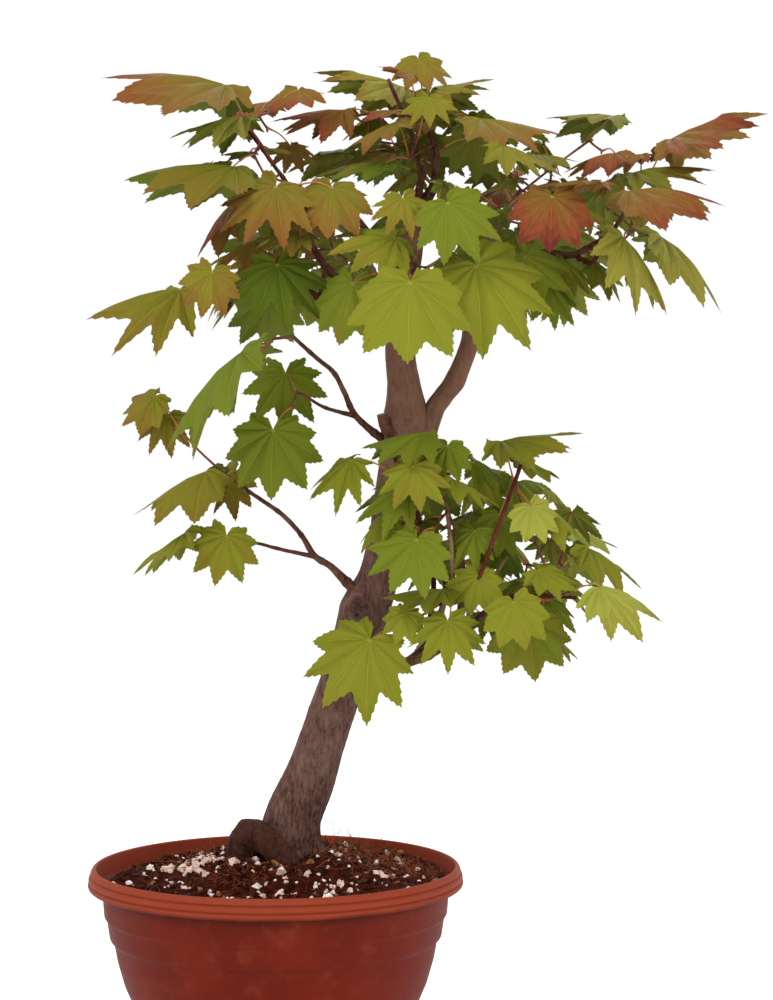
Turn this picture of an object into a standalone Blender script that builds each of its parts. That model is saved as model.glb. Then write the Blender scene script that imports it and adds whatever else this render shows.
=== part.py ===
"""A vine maple grown as a bonsai, in its round plastic pot.

+Z is up, the tree leans to the right (+X) and is seen from -Y.
The origin is the middle of the flat underside of the pot.
Sizes are in millimetres here and become metres when a mesh is made.
"""
import math
import random

import bmesh
import bpy
from mathutils import Matrix, Vector
from mathutils.bvhtree import BVHTree

MM = 0.001
GAP = 0.3

# The pot: a 300 mm nursery pot
RIM_RADIUS = 150.0
POT_HEIGHT = 165.0
WALL = 2.6
FLOOR = 3.5
POT_SIDES = 32
DRAIN_HOLES = 6
DRAIN_RADIUS = 5.0
DRAIN_CIRCLE = 58.0

# The soil
GROUND = 168.0
SOIL_EDGE = 153.0
SOIL_RADIUS = 141.0
MOUND_CENTRE = (6.0, 34.0)
MOUND_FLAT = 46.0

# The trunk: (height, across, depth, thickness) up its leaning line
TRUNK_LINE = (
    (GROUND, 7.0, 36.0, 64.0), (176.0, 8.0, 35.0, 53.0), (200.0, 13.0, 33.0, 45.5),
    (232.0, 26.5, 30.0, 41.0), (276.0, 41.0, 27.0, 38.0), (321.0, 56.5, 23.0, 36.5),
    (362.0, 69.5, 20.0, 39.0), (382.0, 77.5, 19.0, 35.0), (409.0, 86.0, 17.0, 32.5),
    (442.0, 93.0, 14.0, 32.0), (497.0, 100.5, 11.0, 33.5), (519.0, 107.0, 9.5, 41.0),
    (531.0, 111.0, 9.0, 47.0),
)
FORK_HEIGHT = 531.0
FORK_DEPTH_SHARE = 0.66
TRUNK_SIDES = 16

# Twigs and leaves
TWIG_THICK = 2.6
TWIG_THIN = 1.7
PETIOLE_THICK = 1.7
PETIOLE_END = 0.8
PETIOLE_LENGTH = 30.0
LEAF_THICK = 0.03
FAN_PLACE = 0.30
HEEL = 0.10
SUNK = 0.62
CLEARANCE = 1.6
LEAD_STEPS = 14
FILL_TRIES = 400
# One side of a leaf's outline: (angle from the midrib, reach as a share of its length)
LOBES = ((0, 1.0), (16, 0.74), (33, 0.95), (48, 0.67), (64, 0.80), (84, 0.50), (112, 0.48))

# The limbs: the line of each, its thickness at both ends and the limb that it grows from
LIMBS = {
    "leader": dict(
        line=((103, 9, 531.3), (102, 8, 548), (100, 7.5, 580), (102, 6.5, 630), (106, 5, 668), (108, 5, 690)),
        thick=(28.5, 25, 25, 23.5, 26, 19), sides=12, seat=None),
    "right_limb": dict(
        line=((127.5, 9.5, 531.3), (135, 11, 542), (144.5, 12, 556), (157, 15, 588), (162, 18, 620),
              (172, 20, 655), (181, 22, 683)),
        thick=(13.6, 15.4, 15.2, 14.6, 13.2, 10.5, 7), sides=10, seat=None),
    "crown_left_bough": dict(
        line=((101, 7, 598), (78, 0, 616), (56, -5, 631), (40, -10, 645), (26, -14, 668), (21, -16, 686)),
        thick=(12, 9, 7.5, 6.5, 5, 4), sides=6, seat="leader"),
    "crown_left_low_bough": dict(
        line=((101, 7, 584), (76, 2, 603), (51, 0, 614), (28, 2, 624)),
        thick=(11, 9, 8, 7), sides=6, seat="leader"),
    "crown_top_bough": dict(
        line=((107, 5, 672), (117, 2, 694), (127, 0, 712), (128.5, 0, 732)),
        thick=(10, 9, 7.5, 6), sides=6, seat="leader"),
    "crown_front_bough": dict(
        line=((103, 6, 624), (104, -18, 630), (108, -45, 634), (112, -68, 636)),
        thick=(10, 8, 6, 4.5), sides=6, seat="leader"),
    "crown_back_left_bough": dict(
        line=((103, 6, 636), (90, 40, 652), (75, 75, 680), (62, 106, 702)),
        thick=(11, 9, 7, 4.5), sides=6, seat="leader"),
    "crown_back_right_bough": dict(
        line=((163, 18, 622), (178, 45, 645), (192, 78, 672), (202, 106, 690)),
        thick=(9.5, 8, 6, 4.5), sides=6, seat="right_limb"),
    "crown_right_front_bough": dict(
        line=((160, 16, 604), (168, -8, 612), (172, -32, 622)),
        thick=(8.5, 6.5, 5), sides=6, seat="right_limb"),
    "crown_far_right_bough": dict(
        line=((165, 19, 632), (190, 12, 648), (214, 2, 657), (238, -4, 655), (262, -6, 667)),
        thick=(9.5, 8, 7, 5.5, 4.5), sides=6, seat="right_limb"),
    "left_high_bough": dict(
        line=((97, 11, 500), (83, 4, 509), (64, -8, 525.5), (55, -22, 544), (47, -36, 558.5), (34, -50, 569),
              (20, -66, 581)),
        thick=(7, 6, 5, 4.2, 3.8, 3.4, 3), sides=6, seat="trunk"),
    "left_high_side_bough": dict(
        line=((64, -8, 525.5), (50.5, -14, 528.5), (37.5, -22, 532.5), (25, -30, 540)),
        thick=(3.4, 3, 2.7, 2.4), sides=6, seat="left_high_bough"),
    "left_low_bough": dict(
        line=((78, 18, 374), (61, 9, 387), (44, 6, 404), (30.5, 5, 413), (19.5, 6, 430), (4.5, 7, 446), (-14, 8, 459)),
        thick=(9, 8, 5.4, 5.2, 4.2, 3.8, 3.4), sides=6, seat="trunk"),
    "left_low_side_bough": dict(
        line=((32, 5, 412), (18, 4, 415), (4, 4, 418), (-21, 4, 424.5)),
        thick=(3.6, 3.2, 3, 2.5), sides=6, seat="left_low_bough"),
    "middle_bough": dict(
        line=((50, 23, 300), (72, 18, 310), (93, 8, 322.5), (122, -6, 333.5), (138, -14, 346), (145, -18, 362)),
        thick=(11, 10, 9, 8, 7, 6), sides=6, seat="trunk"),
    "middle_right_bough": dict(
        line=((131, -11, 340), (155, -14, 357), (181, -18, 379), (212, -20, 382)),
        thick=(5.5, 5, 4.4, 3.6), sides=6, seat="middle_bough"),
    "middle_back_bough": dict(
        line=((108, 1, 328), (126, 24, 345), (134, 48, 366), (138, 70, 386)),
        thick=(6.5, 5.6, 4.8, 4), sides=6, seat="middle_bough"),
}

# The root that arches beside the trunk's foot, and how thick it is
ROOT_LINE = ((-33, 14, 154), (-31, 12, 171), (-20, 8, 186), (-6, 1, 181), (6, -4, 169), (12, -6, 156))
ROOT_THICK = (19, 23, 27, 23, 25, 20)

# The masses of foliage. bough: the limb whose tip carries it. heart: the place that its stem grows to.
# space: the box that a mass keeps to, as (low, high) across, in depth and up.
# leaders: the leaves that make its outline, each (across, depth, up) of the foot of its blade, then the
# midrib's heading as seen from the front, its lean towards the viewer, how far its face is turned to
# the viewer (all in degrees), its length and, on a leaf that hangs folded, how far its sides hang.
# fill: leaves added by the rule inside the inner box, to make the mass full all round.
MASSES = {
    "crown_top_leaves": dict(
        bough="crown_top_bough", heart=(122, -2, 756), fill=4, tone="russet", seed=11,
        inner=((20, 186), (-30, 104), (720, 800)),
        space=((-30, 196), (-120, 110), (696, 834)),
        leaders=(
            (114, -10, 812, -70, 40, 40, 36, 0.3), (124, -18, 785, 18, 16, 20, 56, 0.34),
            (100, 24, 796, 158, 0, 6, 72, 0.36), (54, 10, 774, 182, 6, 16, 62, 0.42),
            (98, 40, 744, 180, 0, 5, 72, 0.3), (88, -50, 720, 180, 4, 8, 62, 0.3),
            (97, -44, 755, 202, 8, 5, 50, 0.3), (122, -56, 771, -90, 40, 60, 32, 0.2),
            (108, -52, 790, 152, 5, 12, 28, 0.15), (52, 68, 750, 190, 0, -6, 50, 0.1),
            (95, -30, 766, 180, 6, 8, 34, 0.3))),
    "crown_left_leaves": dict(
        bough="crown_left_bough", heart=(0, -34, 722), fill=3, tone="russet", seed=12,
        inner=((-70, 62), (-50, 30), (660, 770)),
        space=((-160, 96), (-160, 62), (640, 834)),
        leaders=(
            (-36, -60, 780, 165, 4, 8, 96, 0.36), (-28, -70, 715, 174, 6, 8, 84, 0.4),
            (-7, 16, 791, 189, 4, 8, 58, 0.3), (5, -96, 696, -120, 32, 48, 56, 0.25),
            (54, -98, 693, -95, 38, 40, 52, 0.2), (-24, -56, 757, 184, 0, 6, 60, 0.32),
            (18, -12, 786, -110, 55, 8, 36, 0.15), (-20, -14, 736, 176, 0, 3, 24, 0.1),
            (-6, -12, 739, -2, 0, 3, 24, 0.1))),
    "left_high_leaves": dict(
        bough="left_high_bough", heart=(2, -76, 582), fill=0, tone="green", seed=20,
        space=((-120, 40), (-160, 10), (430, 620)),
        leaders=((-22, -84, 571, 218, 0, 2, 97, 0.25),)),
    "crown_left_low_leaves": dict(
        bough="crown_left_low_bough", heart=(2, -22, 630), fill=1, tone="warm", seed=13,
        inner=((-40, 60), (-50, 60), (610, 680)),
        space=((-166, 60), (-140, 60), (560, 690)),
        leaders=(
            (-76, -16, 626, 190, 6, 26, 78, 0.45), (4, -62, 641, -80, 22, 66, 58, 0.15),
            (24, -84, 668, 190, 12, 16, 46, 0.4), (-16, -18, 665, 203, 4, 10, 48, 0.3),
            (-44, -92, 632, -106, 10, 60, 36, 0.2))),
    "crown_front_leaves": dict(
        bough="crown_front_bough", heart=(106, -92, 640), fill=1, tone="green", seed=14,
        inner=((40, 182), (-100, -40), (600, 720)),
        space=((20, 182), (-200, -30), (536, 736)),
        leaders=(
            (106, -150, 618, -92, 22, 74, 65, 0.4), (95, -102, 657, 184, 20, 48, 56, 0.15),
            (62, -92, 623, -106, 8, 30, 50, 0.5), (134, -122, 680, -58, 26, 62, 50, 0.25),
            (99, -118, 702, -75, 34, 40, 52, 0.2))),
    "crown_right_front_leaves": dict(
        bough="crown_right_front_bough", heart=(182, -66, 622), fill=1, tone="green", seed=15,
        inner=((140, 260), (-60, 30), (600, 680)),
        space=((96, 284), (-190, 50), (540, 690)),
        leaders=(
            (156, -104, 635, -50, 18, 58, 72, 0.25), (196, -54, 648, -38, 8, 44, 44, 0.15),
            (212, -34, 632, -44, 0, 40, 44, 0.2), (232, -20, 650, -40, 6, 30, 38, 0.2))),
    "crown_right_leaves": dict(
        bough="right_limb", heart=(196, -14, 706), fill=3, tone="russet", seed=16,
        inner=((130, 290), (-50, 100), (650, 760)),
        space=((112, 306), (-150, 104), (640, 800)),
        leaders=(
            (162, -44, 757, -6, 10, 10, 66, 0.3), (277, 46, 776, 174, 0, 3, 56, 0.25),
            (214, -100, 688, -94, 26, 66, 46, 0.15), (177, -82, 731, -22, 12, 12, 54, 0.25),
            (272, -16, 735, 189, 6, 5, 46, 0.3), (212, -4, 741, -2, 6, 4, 42, 0.28),
            (190, -38, 716, 188, 8, 20, 40, 0.3), (250, -92, 699, 178, 8, 3, 50, 0.05))),
    "crown_far_right_leaves": dict(
        bough="crown_far_right_bough", heart=(282, -14, 696), fill=2, tone="russet", seed=17,
        inner=((240, 306), (-30, 100), (690, 736)),
        space=((226, 404), (-150, 112), (556, 796)),
        leaders=(
            (316, -16, 746, 24, 6, 4, 78, 0.28), (306, -30, 666, -35, 4, 2, 74, 0.3),
            (276, -72, 696, 8, 12, 8, 72, 0.36), (287, -8, 721, 14, 6, 6, 66, 0.28),
            (272, -62, 662, -48, 6, 6, 68, 0.42), (300, 26, 748, 186, 0, 4, 42, 0.36),
            (292, 16, 690, -50, 0, 10, 44, 0.35), (256, 6, 652, -42, 0, 20, 40, 0.25))),
    "crown_back_left_leaves": dict(
        bough="crown_back_left_bough", heart=(34, 132, 708), fill=11, tone="russet", seed=18,
        inner=((-60, 96), (20, 222), (624, 716)),
        space=((-136, 96), (20, 222), (592, 742)),
        leaders=()),
    "crown_back_right_leaves": dict(
        bough="crown_back_right_bough", heart=(218, 136, 700), fill=10, tone="russet", seed=19,
        inner=((98, 290), (40, 222), (640, 750)),
        space=((98, 330), (40, 222), (612, 772)),
        leaders=()),
    "left_middle_leaves": dict(
        bough="left_high_side_bough", heart=(18, -34, 542), fill=0, tone="green", seed=21,
        space=((-66, 56), (-100, 30), (430, 575)),
        leaders=((7, 4, 561, -92, 4, 78, 49, 0.1), (0, -50, 513, -92, 6, 78, 55, 0.5))),
    "left_low_leaves": dict(
        bough="left_low_bough", heart=(-46, 10, 482), fill=0, tone="warm", seed=22,
        space=((-160, 4), (-60, 90), (430, 562)),
        leaders=(
            (-58, 10, 481, 204, 4, 12, 70, 0.4), (-100, 16, 542, 216, 8, 34, 36, 0.3),
            (-90, 24, 528, 238, 14, 44, 36, 0.3), (-34, 24, 481, 232, 0, 36, 42, 0.3))),
    "left_lowest_leaves": dict(
        bough="left_low_side_bough", heart=(-32, 4, 428), fill=0, tone="warm", seed=23,
        space=((-134, 10), (-66, 70), (366, 440)),
        leaders=((-40, -8, 430, -104, 14, 76, 44, 0.1), (-75, 8, 431, 215, 0, 2, 54, 0.25))),
    "middle_front_leaves": dict(
        bough="middle_bough", heart=(148, -30, 420), fill=1, tone="green", seed=24,
        inner=((70, 186), (-50, 20), (370, 480)),
        space=((10, 196), (-134, 20), (262, 528)),
        leaders=(
            (118, -62, 510, 184, 6, 10, 50, 0.42), (136, -50, 505, -110, 30, 34, 32, 0.2),
            (59, -50, 491, 213, 10, 28, 46, 0.45), (109, -84, 484, -80, 30, 44, 40, 0.35),
            (139, -58, 482, -23, 8, 6, 50, 0.27), (106, -60, 470, 204, 16, 32, 50, 0.3),
            (111, -84, 428, -118, 24, 56, 50, 0.25), (80, -42, 448, 224, 8, 30, 40, 0.25),
            (133, -46, 388, 182, 6, 6, 50, 0.3), (76, -54, 349, -130, 14, 55, 64, 0.4),
            (136, -66, 365, -90, 24, 64, 42, 0.1), (100, -62, 367, -112, 16, 50, 28, 0.3),
            (160, -52, 399, -106, 20, 48, 34, 0.2), (158, -44, 434, 236, 12, 40, 34, 0.2),
            (158, -18, 488, -25, 0, 26, 38, 0.2))),
    "middle_right_leaves": dict(
        bough="middle_right_bough", heart=(216, -22, 402), fill=1, tone="green", seed=25,
        inner=((150, 250), (-40, 60), (370, 470)),
        space=((140, 336), (-134, 60), (290, 530)),
        leaders=(
            (179, -42, 504, 12, 8, 6, 64, 0.33), (253, -70, 390, -12, 12, 26, 53, 0.42),
            (252, 6, 419, -26, 0, 6, 54, 0.38), (211, -28, 455, -32, 6, 14, 46, 0.42),
            (186, -80, 380, -74, 26, 56, 38, 0.2), (199, -46, 364, -82, 18, 58, 48, 0.1),
            (197, -6, 492, -25, 0, 4, 36, 0.3), (206, -52, 403, -22, 20, 32, 42, 0.2),
            (201, -52, 453, -64, 20, 48, 31, 0.2), (190, 24, 477, -30, 0, 12, 40, 0.38),
            (172, -12, 455, -62, 0, 44, 44, 0.2), (216, -12, 379, -42, 0, 24, 38, 0.25),
            (178, 12, 424, -55, 0, 30, 38, 0.3))),
    "middle_back_leaves": dict(
        bough="middle_back_bough", heart=(164, 92, 410), fill=8, tone="green", seed=26,
        inner=((100, 270), (20, 150), (320, 490)),
        space=((90, 300), (20, 176), (310, 520)),
        leaders=()),
}

# Colours: base colour, roughness
COLOURS = {
    "pot": ((0.34, 0.055, 0.028), 0.5), "soil": ((0.035, 0.012, 0.008), 0.95),
    "bark": ((0.13, 0.075, 0.06), 0.75), "root": ((0.06, 0.03, 0.02), 0.85), "bough": ((0.09, 0.035, 0.022), 0.6),
    "green": ((0.23, 0.27, 0.03), 0.5), "warm": ((0.27, 0.25, 0.035), 0.5), "russet": ((0.29, 0.17, 0.035), 0.5),
}


def colour(name):
    """The material of that name, made once."""
    if name in bpy.data.materials:
        return bpy.data.materials[name]
    base, rough = COLOURS[name]
    made = bpy.data.materials.new(name)
    made.use_nodes = True
    shader = made.node_tree.nodes["Principled BSDF"]
    shader.inputs["Base Color"].default_value = (*base, 1.0)
    shader.inputs["Roughness"].default_value = rough
    shader.inputs["Metallic"].default_value = 0.0
    return made


def solid(name, points, faces, material, smooth=True):
    """An object made from points in millimetres and faces, with its faces turned outwards."""
    mesh = bpy.data.meshes.new(name)
    mesh.from_pydata([Vector(point) * MM for point in points], [], faces)
    work = bmesh.new()
    work.from_mesh(mesh)
    bmesh.ops.recalc_face_normals(work, faces=work.faces)
    work.to_mesh(mesh)
    work.free()
    made = bpy.data.objects.new(name, mesh)
    mesh.materials.append(colour(material))
    if smooth:
        mesh.shade_smooth()
        mesh.set_sharp_from_angle(angle=math.radians(40))
    bpy.context.scene.collection.objects.link(made)
    return made


def turned(name, profile, sides, material):
    """A solid of revolution: the profile runs from the axis, round the outside, back to the axis."""
    points = [(0, 0, profile[0][1])]
    ring_starts = []
    for radius, height in profile[1:-1]:
        ring_starts.append(len(points))
        for side in range(sides):
            angle = 2 * math.pi * side / sides
            points.append((radius * math.cos(angle), radius * math.sin(angle), height))
    points.append((0, 0, profile[-1][1]))
    faces = []
    for side in range(sides):
        after = (side + 1) % sides
        faces.append((0, ring_starts[0] + after, ring_starts[0] + side))
        for low, high in zip(ring_starts, ring_starts[1:]):
            faces.append((low + side, low + after, high + after, high + side))
        faces.append((ring_starts[-1] + side, ring_starts[-1] + after, len(points) - 1))
    return solid(name, points, faces, material)


def cut(made, tool, solver="EXACT"):
    """Takes another object's room out of this one and keeps the result as its mesh."""
    modifier = made.modifiers.new("cut", "BOOLEAN")
    modifier.operation = "DIFFERENCE"
    modifier.solver = solver
    modifier.object = tool
    keep_evaluated(made)
    bpy.data.objects.remove(tool)


def keep_evaluated(made):
    """Applies the object's modifiers to its mesh."""
    evaluated = made.evaluated_get(bpy.context.evaluated_depsgraph_get())
    mesh = bpy.data.meshes.new_from_object(evaluated)
    made.modifiers.clear()
    made.data = mesh


def keep_main_body(made):
    """Drops loose scraps and the inner skins of sealed hollows: only the widest body stays."""
    work = bmesh.new()
    work.from_mesh(made.data)
    left = set(work.verts)
    bodies = []
    while left:
        front = [left.pop()]
        body = set(front)
        while front:
            for edge in front.pop().link_edges:
                for vert in edge.verts:
                    if vert in left:
                        left.remove(vert)
                        body.add(vert)
                        front.append(vert)
        bodies.append(body)
    main = max(bodies, key=len)
    bmesh.ops.delete(work, geom=[vert for vert in work.verts if vert not in main], context="VERTS")
    bmesh.ops.triangulate(work, faces=work.faces)
    work.to_mesh(made.data)
    work.free()


def make_pot():
    """The pot: a flat foot, a stepped and slightly swelling wall, and a broad rolled rim."""
    outer = [
        (80, 0), (83, 2), (95, 20), (107, 40), (115, 57), (121.5, 72), (127, 91), (130.5, 107), (133, 109),
        (135.3, 123), (137.3, 126), (139.3, 147.5), (147.2, 148.5), (RIM_RADIUS, 152), (RIM_RADIUS, 161),
        (148.4, 164), (146.4, POT_HEIGHT), (144.4, 164),
    ]
    inner = [(144.4 - 1.2, 150), (139.3 - WALL, 146), (130.5 - WALL, 106), (115 - WALL, 57), (95 - WALL, 20),
             (84 - WALL, FLOOR)]
    pot = turned("pot", [(0, 0)] + outer + inner + [(0, FLOOR)], POT_SIDES, "pot")
    for hole in range(DRAIN_HOLES):
        angle = 2 * math.pi * (hole + 0.5) / DRAIN_HOLES
        place = Vector((DRAIN_CIRCLE * math.cos(angle), DRAIN_CIRCLE * math.sin(angle), FLOOR / 2)) * MM
        bpy.ops.mesh.primitive_cylinder_add(
            vertices=10, radius=DRAIN_RADIUS * MM, depth=4 * FLOOR * MM, location=place)
        cut(pot, bpy.context.object, "MANIFOLD")
    keep_main_body(pot)
    return pot


def soil_height(across, depth):
    """The soil's surface: low at the rim, flat under the trunk, a little higher behind and at the right."""
    reach = math.hypot(across, depth) / SOIL_RADIUS
    edge = SOIL_EDGE + 5.0 * (depth / SOIL_RADIUS) + 3.0 * (across / SOIL_RADIUS) * reach
    from_mound = math.hypot(across - MOUND_CENTRE[0], depth - MOUND_CENTRE[1])
    share = min(max((from_mound - MOUND_FLAT) / 60.0, 0.0), 1.0)
    share = share * share * (3 - 2 * share)
    return (GROUND - GAP) * (1 - share) + edge * share


def make_soil():
    """The soil that fills the pot, 0.3 mm clear of its wall, with a mound under the trunk."""
    sides, rings = 28, 5
    wall = [(84 - WALL - GAP - 1.5, FLOOR + GAP), (95 - WALL - GAP - 0.8, 20), (115 - WALL - GAP - 0.8, 57),
            (130.5 - WALL - GAP - 0.8, 106), (138 - WALL - GAP - 0.8, 140)]
    points = [(0, 0, FLOOR + GAP)]
    for radius, height in wall:
        for side in range(sides):
            angle = 2 * math.pi * side / sides
            points.append((radius * math.cos(angle), radius * math.sin(angle), height))
    top_centre = Vector((*MOUND_CENTRE, 0))
    for ring in range(rings):
        share = 1 - ring / rings
        for side in range(sides):
            angle = 2 * math.pi * side / sides
            rim = Vector((math.cos(angle), math.sin(angle), 0)) * (138.5 - WALL)
            place = top_centre.lerp(rim, share)
            points.append((place.x, place.y, soil_height(place.x, place.y)))
    points.append((*MOUND_CENTRE, GROUND - GAP))
    faces = []
    total = len(wall) + rings
    for side in range(sides):
        after = (side + 1) % sides
        faces.append((0, 1 + after, 1 + side))
        for ring in range(total - 1):
            low, high = 1 + ring * sides, 1 + (ring + 1) * sides
            faces.append((low + side, low + after, high + after, high + side))
        last = 1 + (total - 1) * sides
        faces.append((last + side, last + after, len(points) - 1))
    return solid("soil", points, faces, "soil")


def smooth_line(points, thick, steps):
    """Points and thicknesses along a smooth curve through the given ones."""
    points = [Vector(point) for point in points]
    line, widths = [], []
    for index in range(len(points) - 1):
        before = points[max(index - 1, 0)]
        start, end = points[index], points[index + 1]
        after = points[min(index + 2, len(points) - 1)]
        for step in range(steps):
            t = step / steps
            line.append(0.5 * ((2 * start) + (end - before) * t
                               + (2 * before - 5 * start + 4 * end - after) * t * t
                               + (3 * start - before - 3 * end + after) * t * t * t))
            widths.append(thick[index] * (1 - t) + thick[index + 1] * t)
    line.append(points[-1])
    widths.append(thick[-1])
    return line, widths


def tube(line, widths, sides, flat_ends=(None, None), turn=0.0):
    """Points and faces of a closed tube. A flat end's normal can be given, as for a level cut."""
    points, faces = [], []
    side_way = None
    for index, centre in enumerate(line):
        ahead = line[min(index + 1, len(line) - 1)] - line[max(index - 1, 0)]
        if index == 0 and flat_ends[0] is not None:
            ahead = Vector(flat_ends[0])
        if index == len(line) - 1 and flat_ends[1] is not None:
            ahead = Vector(flat_ends[1])
        ahead.normalize()
        if side_way is None:
            side_way = ahead.orthogonal()
            if abs(ahead.z) > 0.6:
                side_way = Vector((1, 0, 0))
        side_way = (side_way - ahead * side_way.dot(ahead)).normalized()
        other_way = ahead.cross(side_way)
        for side in range(sides):
            angle = 2 * math.pi * side / sides + turn
            points.append(centre + (side_way * math.cos(angle) + other_way * math.sin(angle)) * widths[index] / 2)
    for index in range(len(line) - 1):
        low, high = index * sides, (index + 1) * sides
        for side in range(sides):
            after = (side + 1) % sides
            faces.append((low + side, low + after, high + after, high + side))
    faces.append(tuple(range(sides))[::-1])
    faces.append(tuple(range((len(line) - 1) * sides, len(line) * sides)))
    return points, faces


def trunk_surface(swell=0.0, low=0.0):
    """The trunk from its level foot, with a root flare, to the fork, where it widens for both limbs."""
    stations = [(across, depth, height) for height, across, depth, thick in TRUNK_LINE]
    line, widths = smooth_line(stations, [row[3] for row in TRUNK_LINE], 2)
    points, faces = tube(line, [width + 2 * swell for width in widths], TRUNK_SIDES, ((0, 0, 1), (0, 0, 1)))
    shaped = []
    for index, point in enumerate(points):
        centre = line[index // TRUNK_SIDES]
        off = point - centre
        rise = (centre.z - GROUND) / 30.0
        if rise < 1:
            angle = math.atan2(off.y, off.x)
            off *= 1 + 0.11 * (1 - rise) ** 2 * math.cos(5 * angle + 0.7)
        spread = min(max((centre.z - 497.0) / (FORK_HEIGHT - 497.0), 0.0), 1.0)
        off.y *= 1 - (1 - FORK_DEPTH_SHARE) * spread
        shaped.append(centre + off)
    for index in range(TRUNK_SIDES):
        shaped[index] = Vector((shaped[index].x, shaped[index].y, GROUND - low))
    return shaped, faces


def limb_surface(name, swell=0.0):
    """A limb as one tapering tube along its smooth line, swollen when it serves as a seat's cutter."""
    if name == "trunk":
        return trunk_surface(swell)
    rule = LIMBS[name]
    line, widths = smooth_line(rule["line"], rule["thick"], 2)
    level = (0, 0, 1) if rule["seat"] is None else None
    return tube(line, [width + 2 * swell for width in widths], rule["sides"], (level, None))


def make_limbs():
    """The trunk, the leader, the right limb and the boughs, each cut 0.3 mm clear of what carries it."""
    limbs = [solid("trunk", *trunk_surface(), "bark")]
    for name, rule in LIMBS.items():
        material = "bough" if rule["seat"] else "bark"
        limb = solid(name, *limb_surface(name), material)
        if rule["seat"]:
            cutter = solid("cutter", *limb_surface(rule["seat"], GAP + 0.05), material)
            cut(limb, cutter)
            keep_main_body(limb)
        limbs.append(limb)
    root = solid("surface_root", *tube(*smooth_line(ROOT_LINE, ROOT_THICK, 3), 10), "root")
    cut(root, solid("cutter", *trunk_surface(GAP + 0.1, 20.0), "root"))
    bpy.ops.mesh.primitive_cube_add(size=0.2, location=(0, 0, GROUND * MM - 0.1))
    cut(root, bpy.context.object)
    keep_main_body(root)
    limbs.append(root)
    return limbs


def tree_of(surface):
    """A search tree over a surface's faces, for finding what touches it, with its lowest and highest corners."""
    points, faces = surface
    low = Vector([min(point[axis] for point in points) for axis in range(3)])
    high = Vector([max(point[axis] for point in points) for axis in range(3)])
    return BVHTree.FromPolygons(points, faces), low, high


def meets(one, other):
    """Whether two surfaces' search trees cross."""
    if any(one[1][axis] > other[2][axis] or other[1][axis] > one[2][axis] for axis in range(3)):
        return False
    return bool(one[0].overlap(other[0]))


def within(space, point):
    """Whether a point is in the box of a mass's space."""
    return all(low < value < high for value, (low, high) in zip(point, space))


def leaf_frame(heading, lean, face):
    """The midrib's way and the upper face's normal, from the three angles that place a leaf."""
    heading, lean, face = (math.radians(angle) for angle in (heading, lean, face))
    midrib = Vector((math.cos(heading) * math.cos(lean), -math.sin(lean), math.sin(heading) * math.cos(lean)))
    up = Vector((0, 0, 1)) * math.cos(face) + Vector((0, -1, 0)) * math.sin(face)
    normal = (up - midrib * up.dot(midrib)).normalized()
    return midrib, normal


def on_midrib(foot, midrib, normal, length, droop, share):
    """The place on a drooping leaf's midrib at a share of its length from the foot."""
    return foot + (midrib * share - normal * droop * share * share) * length


def leaf_surface(foot, midrib, normal, length, droop, fold, thick):
    """A thin closed lobed blade: fans of faces over and under the outline from a place on the midrib.
    The blade sinks with the square of the reach, and its sides hang from the midrib."""
    across = normal.cross(midrib)
    outline = []
    for angle, reach in LOBES + ((180, HEEL),) + tuple((-angle, reach) for angle, reach in LOBES[:0:-1]):
        along = reach * math.cos(math.radians(angle))
        aside = reach * math.sin(math.radians(angle))
        sink = droop * reach * reach + fold * abs(aside)
        outline.append(foot + (midrib * along + across * aside - normal * sink) * length)
    middle = on_midrib(foot, midrib, normal, length, droop, FAN_PLACE)
    points = [middle + normal * thick / 2, middle - normal * thick / 2] + outline
    faces = []
    for index in range(len(outline)):
        after = (index + 1) % len(outline)
        faces.append((0, 2 + index, 2 + after))
        faces.append((1, 2 + after, 2 + index))
    return points, faces


def twig(line, thick, thin):
    """A three-sided twig along the line, from thick to thin."""
    widths = [thick + (thin - thick) * index / (len(line) - 1) for index in range(len(line))]
    return tube(line, widths, 3, turn=0.4)


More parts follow.
